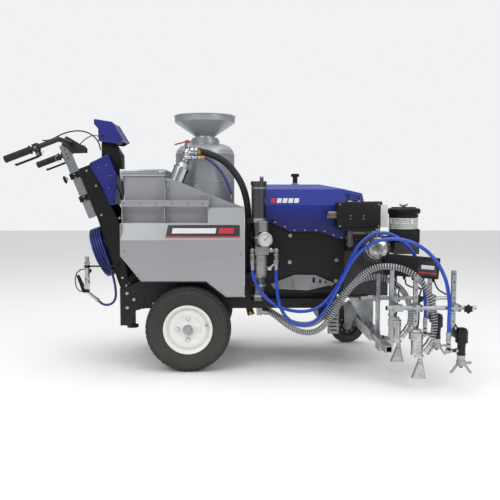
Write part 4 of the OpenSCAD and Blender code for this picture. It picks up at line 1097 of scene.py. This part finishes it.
# Guns: two airless paint guns in black anodised bodies with hexagonal nuts, an elbow for the hose and a
# turning tip guard with wings, and two cast aluminium bead guns with banded chambers and fan-shaped steel
# spouts.
gun_black = finish("black_anodised_gun", paint(30, 30, 33), 0.34, metal=0.4, shade=0.6, cloud=34.0,
                   relief=0.25, chips=0.45)
gun_alloy = finish("bead_gun_aluminium", paint(212, 213, 212), 0.2, metal=0.95, shade=0.5, cloud=40.0,
                   grain=520.0, relief=0.35, dust=0.1)
spout_steel = finish("bead_spout_steel", paint(184, 183, 178), 0.3, metal=0.9, shade=0.6, cloud=38.0,
                     relief=0.2, dust=0.25)
guard_alloy = finish("tip_guard_metal", paint(188, 189, 186), 0.28, metal=0.9, shade=0.6, cloud=44.0,
                     relief=0.25, chips=0.2)
dress(gun_black, "paint_guns")
dress(guard_alloy, "tip_guard_near", "tip_guard_far")
for name, x, y, lift in (("near", 945, near_bar, 0), ("far", 925, far_bar, 12)):
    bm = bmesh.new()
    for z0, z1, r, sides in ((258, 263, 23, 40), (263, 268, 14, 6), (248, 252, 26.6, 48),
                             (240, 244, 26.6, 48), (206, 212, 26.6, 48), (214, 217, 26.6, 48),
                             (196, 203, 19, 6), (150, 156, 18.4, 40), (158, 160, 17.8, 40),
                             (186, 188, 17.8, 40)):
        rod(bm, at(x, y, z0 + lift), at(x, y, z1 + lift), r / 1000, sides)
    bolt_ring(bm, x, y, 255 + lift, 266 + lift, 18, range(45, 360, 90), 0.0034)
    rod(bm, at(x - 17, y - 12, 180 + lift), at(x - 17, y - 17, 180 + lift), 0.005, 16)
    piece("paint_gun_bands_" + name, bm, "rack", gun_black)
    bm = bmesh.new()
    rod(bm, at(x, y, 126 + lift), at(x, y, 148 + lift), 0.0172, 6)
    rod(bm, at(x, y, 148 + lift), at(x, y, 152 + lift), 0.0178, 40)
    rod(bm, at(x - 20, y - 12, 172 + lift), at(x - 30, y - 12, 172 + lift), 0.0105, 6)
    rod(bm, at(x - 44, y - 12, 172 + lift), at(x - 51, y - 12, 172 + lift), 0.0095, 6)
    rod(bm, at(x - 62, y - 20, 188 + lift), at(x - 62, y - 20, 200 + lift), 0.0112, 6)
    rod(bm, at(x - 62, y - 20, 206 + lift), at(x - 62, y - 20, 221 + lift), 0.0105, 6)
    bmesh.ops.create_uvsphere(bm, u_segments=24, v_segments=14, radius=0.0126,
                              matrix=move_to(at(x - 62, y - 16, 172 + lift)))
    piece("paint_gun_nuts_" + name, bm, "rack", zinc)
    bm = bmesh.new()
    put = move_to(at(x, y, lift))
    for s in (-1, 1):
        for inner, outer in (((17, 112), (30, 92)), ((30, 92), (43.5, 75))):
            rod(bm, put @ (Vector((s * inner[0], -3, inner[1])) / 1000),
                put @ (Vector((s * outer[0], -5, outer[1])) / 1000), 0.0026, 12)
            rod(bm, put @ (Vector((s * inner[0], 3, inner[1])) / 1000),
                put @ (Vector((s * outer[0], 5, outer[1])) / 1000), 0.0026, 12)
        rod(bm, put @ (Vector((s * 43, -7, 75)) / 1000), put @ (Vector((s * 43, 7, 75)) / 1000), 0.0028, 12)
    for z in (106, 111, 118, 123):
        rod(bm, put @ Vector((0, 0, z / 1000)), put @ Vector((0, 0, (z + 2.4) / 1000)), 0.0196, 36)
    rod(bm, put @ Vector((0.03, 0, 0.116)), put @ Vector((0.044, 0, 0.116)), 0.0066, 6)
    piece("tip_guard_wings_" + name, bm, "tip_guard_" + name, guard_alloy)

for name, x, y, lift in (("near", 752, near_bar, 0), ("far", 727, far_bar, 2)):
    bm = bmesh.new()
    spots = [(0, 8, 252, 257, 23, 40), (0, 8, 257, 263, 10, 6), (0, 8, 244, 247, 31, 48),
             (0, 8, 219, 223, 31, 48), (0, 8, 229, 231, 30.6, 48), (0, 8, 235, 237, 30.6, 48),
             (4, 8, 204, 209, 25.4, 48), (4, 8, 192, 195, 24.8, 48), (4, 8, 180, 183, 24.8, 48),
             (4, 8, 156, 161, 25.6, 48), (14, 8, 141, 146, 21, 40), (20, 8, 122, 130, 11.5, 6)]
    for dx, dy, z0, z1, r, sides in spots:
        rod(bm, at(x + dx, y + dy, z0 + lift), at(x + dx, y + dy, z1 + lift), r / 1000, sides)
    bolt_ring(bm, x, y + 8, 247 + lift, 252 + lift, 24, range(30, 360, 60), 0.0036)
    start = at(x + 30, y + 8, 165 + lift)
    along = Vector((math.sin(math.radians(40)), 0, math.cos(math.radians(40))))
    rod(bm, start + along * 0.012, start + along * 0.018, 0.0172, 6)
    rod(bm, start + along * 0.024, start + along * 0.031, 0.017, 40)
    piece("bead_gun_bands_" + name, bm, "rack", gun_alloy)
    bm = bmesh.new()
    sheet_piece(bm, [(x - 16, 50 + lift), (x - 13, 50 + lift), (x + 14, 117 + lift), (x + 26, 117 + lift),
                     (x + 41, 46 + lift), (x + 44, 46 + lift), (x + 29.5, 118.5 + lift),
                     (x + 10.5, 118.5 + lift)], y - 1.2, y + 17.2, 0.4)
    rod(bm, at(x + 10, y + 8, 114 + lift), at(x + 30, y + 8, 114 + lift), 0.0095, 24)
    piece("bead_spout_folds_" + name, bm, "rack", spout_steel)
dress(gun_alloy, "bead_guns")


# Console: a folded black column with a blue cover, a blue display hood that tilts over a small screen, a
# square steel stem in two clamps, and the handlebar with ribbed grips, two levers and their cables.
screen_glass = finish("display_glass", paint(34, 40, 46), 0.1, shade=0.8, relief=0.02, coat=0.9)
button_grey = finish("button_grey", paint(180, 182, 184), 0.5, shade=0.85, relief=0.1)
bar_paint = finish("handlebar_paint", paint(44, 42, 41), 0.42, metal=0.2, shade=0.6, cloud=24.0, relief=0.3,
                   chips=0.55)
grip_rubber = finish("ribbed_grip_rubber", paint(27, 27, 28), 0.72, shade=0.6, cloud=40.0, grain=700.0,
                     relief=0.5)
dress(bar_paint, "handlebar")
dress(black_plastic, "brake_lever", "throttle_lever")

fixings = bmesh.new()
for s in (-1, 1):
    for x, z in ((-760, 955), (-714, 880), (-690, 735), (-600, 720), (-590, 420), (-571, 380)):
        rod(fixings, at(x, s * 120, z), at(x, s * 124, z), 0.0065, 6)
piece("column_bolts", fixings, "frame", zinc)
folded = bmesh.new()
for s in (-1, 1):
    outline = [at(x, s * 120.5, z) for x, z in ((-799, 964), (-706, 715), (-611, 404), (-590, 345))]
    bent_rod(folded, outline, 0.0026, 10)
    outline = [at(x, s * 120.5, z) for x, z in ((-747, 984), (-611, 715), (-563, 404), (-552, 345))]
    bent_rod(folded, outline, 0.0026, 10)
piece("column_folded_edges", folded, "frame", powder_coat)
pad = bmesh.new()
for s in (-1, 1):
    outline = [at(x, s * 128, z) for x, z in ((-742, 986), (-655, 1032), (-615, 930), (-627, 788),
                                              (-643, 788), (-686, 885), (-742, 986))]
    bent_rod(pad, outline, 0.0030, 12)
    sheet_piece(pad, [(-712, 976), (-664, 1002), (-634, 930), (-645, 850), (-676, 912)], s * 128 - 1.4,
                s * 128 + 1.4, 0.5)
piece("console_cover_piping", pad, "frame", cover_blue)
clasps = bmesh.new()
for s in (-1, 1):
    for x, z in ((-700, 968), (-660, 984), (-640, 930), (-650, 868)):
        rod(clasps, at(x, s * 129, z), at(x, s * 132, z), 0.0042, 20, 0.003)
piece("console_cover_screws", clasps, "frame", zinc)

unit = bmesh.new()
sheet_piece(unit, [(-707, 1108), (-620, 1098), (-606, 1110), (-648, 1184), (-709, 1191)], -74, 74, 2.5)
piece("display_unit", unit, "display", black_plastic)
face = bmesh.new()
tilted = at(-711.5, 0, 1150)
bmesh.ops.create_cube(face, size=1, matrix=move_to(tilted) @ scale_by(0.0024, 0.116, 0.057))
for i in range(5):
    put = move_to(at(-711.8, -48 + 24 * i, 1114)) @ turn_by(90, "Y")
    made = bmesh.ops.create_cone(face, cap_ends=True, segments=20, radius1=0.006, radius2=0.005, depth=0.004,
                                 matrix=put)["verts"]
    for f in {f for v in made for f in v.link_faces}:
        f.material_index = 1
piece("display_screen_and_keys", face, "display", screen_glass, button_grey)
hem = bmesh.new()
for s in (-1, 1):
    outline = [at(x, s * 94, z) for x, z in ((-723, 1186), (-723, 1210), (-635, 1196), (-583, 1109),
                                             (-612, 1093), (-704, 1105))]
    bent_rod(hem, outline, 0.0024, 10)
piece("display_hood_hem", hem, "display", cover_blue)

stem = move_to(at(-758, 0, 722)) @ turn_by(-21.5, "Y")
fittings = bmesh.new()
for z in (92, 112, 217, 237):
    for y in (-27, 27):
        rod(fittings, stem @ Vector((0.0, y / 1000, z / 1000)),
            stem @ Vector((0.0, (y + (4 if y > 0 else -4)) / 1000, z / 1000)), 0.005, 6)
piece("stem_clamp_screws", fittings, "frame", zinc)
holes = bmesh.new()
for z in range(324, 372, 22):
    rod(holes, stem @ Vector((0, -0.0202, z / 1000)), stem @ Vector((0, -0.0206, z / 1000)), 0.0045, 20)
    rod(holes, stem @ Vector((0, 0.0202, z / 1000)), stem @ Vector((0, 0.0206, z / 1000)), 0.0045, 20)
piece("stem_adjusting_holes", holes, "handle", dark_steel)
knob_centre = stem @ Vector((-0.0543, 0, 0.230))
star_knob("stem_star_knob", "stem_knob", "stem_knob", knob_centre, stem.to_3x3() @ Vector((-1, 0, 0)))

for side, s, lever_body in (("near", -1, "brake_lever"), ("far", 1, "throttle_lever")):
    hold = move_to(at(-860, s * 250, 1098)) @ turn_by(-110.7, "Y")
    grip = bmesh.new()
    ribbed = [(17.6 if i % 2 else 16.4, 152 + 5 * i) for i in range(23)]
    turned(grip, [(12.4, 140), (19.5, 140), (21, 142), (21, 146), (18, 149), *ribbed, (18.2, 268), (17, 273),
                  (12, 275), (0, 275), (0, 272.6), (12.4, 272.6)], 32)
    carry(grip, hold)
    piece("ribbed_grip_" + side, grip, "handle", grip_rubber, stand_for=["grips"], slot="black_rubber")
    mount = bmesh.new()
    rod(mount, hold @ Vector((0, -0.0195, 0.113)), hold @ Vector((0, 0.0195, 0.113)), 0.006, 6)
    rod(mount, hold @ Vector((-0.033, -0.0185, 0.113)), hold @ Vector((-0.033, 0.0185, 0.113)), 0.0048, 20)
    rod(mount, hold @ Vector((-0.030, 0, 0.1)), hold @ Vector((-0.030, 0, 0.086)), 0.0042, 16, 0.0032)
    piece("lever_mount_" + side, mount, "handle", zinc)
    blade = bmesh.new()
    rod(blade, hold @ Vector((-0.0415, 0, 0.229)), hold @ Vector((-0.0415, 0, 0.2365)), 0.0068, 20, 0.005)
    rod(blade, hold @ Vector((-0.0452, 0, 0.118)), hold @ Vector((-0.0452, 0, 0.228)), 0.0028, 12)
    piece("lever_bead_" + side, blade, lever_body, black_plastic)

lead_grey = finish("grey_cable_sheath", paint(120, 124, 128), 0.45, shade=0.7, cloud=40.0, relief=0.2,
                   coat=0.2)
handle_bend = ("frame", "handle", at(-716, 0, 0), at(-900, 0, 0))
thin_cable("brake_cable", [(-936, -250, 1092), (-912, -249, 1092), (-884, -244, 1102), (-852, -228, 1122),
                           (-818, -200, 1138), (-784, -164, 1146), (-752, -124, 1142), (-726, -88, 1124),
                           (-710, -62, 1096), (-704, -49, 1062)], 0.0032, edge_rubber, handle_bend)
thin_cable("throttle_cable", [(-936, 250, 1092), (-912, 249, 1096), (-884, 244, 1112), (-852, 228, 1136),
                              (-818, 200, 1152), (-784, 164, 1156), (-752, 124, 1148), (-726, 88, 1128),
                              (-710, 62, 1100), (-704, 49, 1064)], 0.0032, lead_grey, handle_bend)
thin_cable("display_lead", [(-632, -46, 1060), (-618, -50, 1046), (-604, -54, 1024), (-598, -54, 995),
                            (-604, -54, 960), (-620, -52, 930), (-622, -60, 890), (-606, -70, 850),
                            (-596, -80, 800), (-590, -96, 760), (-596, -112, 730)], 0.0032,
           edge_rubber)
hook = tube("stem_wire_hook", [stem @ (Vector(p) / 1000) for p in ((-20, -14, 314), (-34, -14, 314),
                                                                   (-52, -14, 320), (-62, -14, 332),
                                                                   (-62, -14, 348), (-54, -14, 358),
                                                                   (-46, -14, 356))], 0.0016, zinc, sides=3)
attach(hook, "handle")


# Cleaning gun set at the back: about eleven metres of blue hose wound in three layers from a feed pipe, and a
# plated hand gun that hangs in a black holder, with its trigger and a wire guard.
coil_turn = move_to(at(-700, 0, 545)) @ turn_by(70, "Y")
rings = [(r, -25 + 12.4 * (4 - k if layer == 1 else k)) for layer, r in enumerate((101, 113.3, 125.6))
         for k in range(5)]
wound = [coil_turn @ (Vector(p) / 1000) for p in ((90, -24, -25), (96, -12, -25))]
for turn, (radius, height) in enumerate(rings):
    last = turn == len(rings) - 1
    to_radius, to_height = rings[turn if last else turn + 1]
    for i in range(19 if last else 24):
        moved = max(0, (i / 24 - 0.8) / 0.2)
        r, h = radius + (to_radius - radius) * moved, height + (to_height - height) * moved
        a = 2 * math.pi * i / 24
        wound.append(coil_turn @ (Vector((r * math.cos(a), r * math.sin(a), h)) / 1000))
wound += smooth([(-672, -128, 538), (-664, -131, 520), (-646, -142, 470), (-630, -152, 425),
                 (-620, -159, 380), (-617, -163, 340), (-623, -165, 313), (-640, -165, 295),
                 (-662, -165, 289.5), (-680, -165, 293), (-693, -165, 302), (-706, -165, 313)])
coil = tube("cleaning_hose_coil", wound, 0.006, dark_nylon, sides=3)
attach(coil, "frame")
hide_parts("hose_coil")
feed = bmesh.new()
rod(feed, coil_turn @ Vector((0.088, -0.034, -0.025)), coil_turn @ Vector((0.088, -0.034, 0.062)), 0.005)
rod(feed, coil_turn @ Vector((0.087, -0.038, -0.025)), coil_turn @ Vector((0.0898, -0.023, -0.025)), 0.0085,
    6)
piece("coil_feed_pipe", feed, "frame", zinc)
holder = bmesh.new()
turned(holder, [(11.2, -6), (14.2, -6), (14.2, 6), (11.2, 6)], 40)
carry(holder, move_to(at(-756, -165, 482)))
arm = [at(*p) for p in ((-612, -121, 482), (-612, -156, 482), (-742, -156, 482), (-750, -158, 482))]
for a, b in zip(arm, arm[1:]):
    rod(holder, a, b, 0.004, 16)
    bmesh.ops.create_uvsphere(holder, u_segments=16, v_segments=8, radius=0.004, matrix=move_to(b))
piece("hand_gun_holder", holder, "frame", powder_coat)
dress(chrome, "spray_gun")
gun_x, gun_y = -756, -165
hand_gun = bmesh.new()
stack(hand_gun, gun_x, gun_y, ((406, 410, 13, 32), (414, 428, 14, 6), (440, 443, 12.4, 32),
                               (468, 471, 12.4, 32), (492, 504, 14, 6), (508, 513, 10, 24),
                               (516, 530, 11, 6)))
rod(hand_gun, at(-712, -165, 318), at(-703, -165, 310.4), 0.0105, 6)
rod(hand_gun, at(-756, -160, 455), at(-756, -118, 455), 0.0068)
gun_nuts = piece("hand_gun_nuts", hand_gun, "frame", zinc)
black_parts = bmesh.new()
rod(black_parts, at(-756, -124, 455), at(-756, -106, 455), 0.0115, 24, 0.0095)
slab(black_parts, (-776.5, -177.6, 352), (-747, -152.4, 372), 3)
guard_line = [at(x, -165, z) for x, z in ((-774, 354), (-800, 362), (-813, 384), (-816, 420), (-808, 450),
                                          (-788, 466), (-758, 470))]
bent_rod(black_parts, guard_line, 0.0026, 12)
gun_guard = piece("hand_gun_guard", black_parts, "frame", black_plastic)
dress(black_plastic, "spray_trigger")
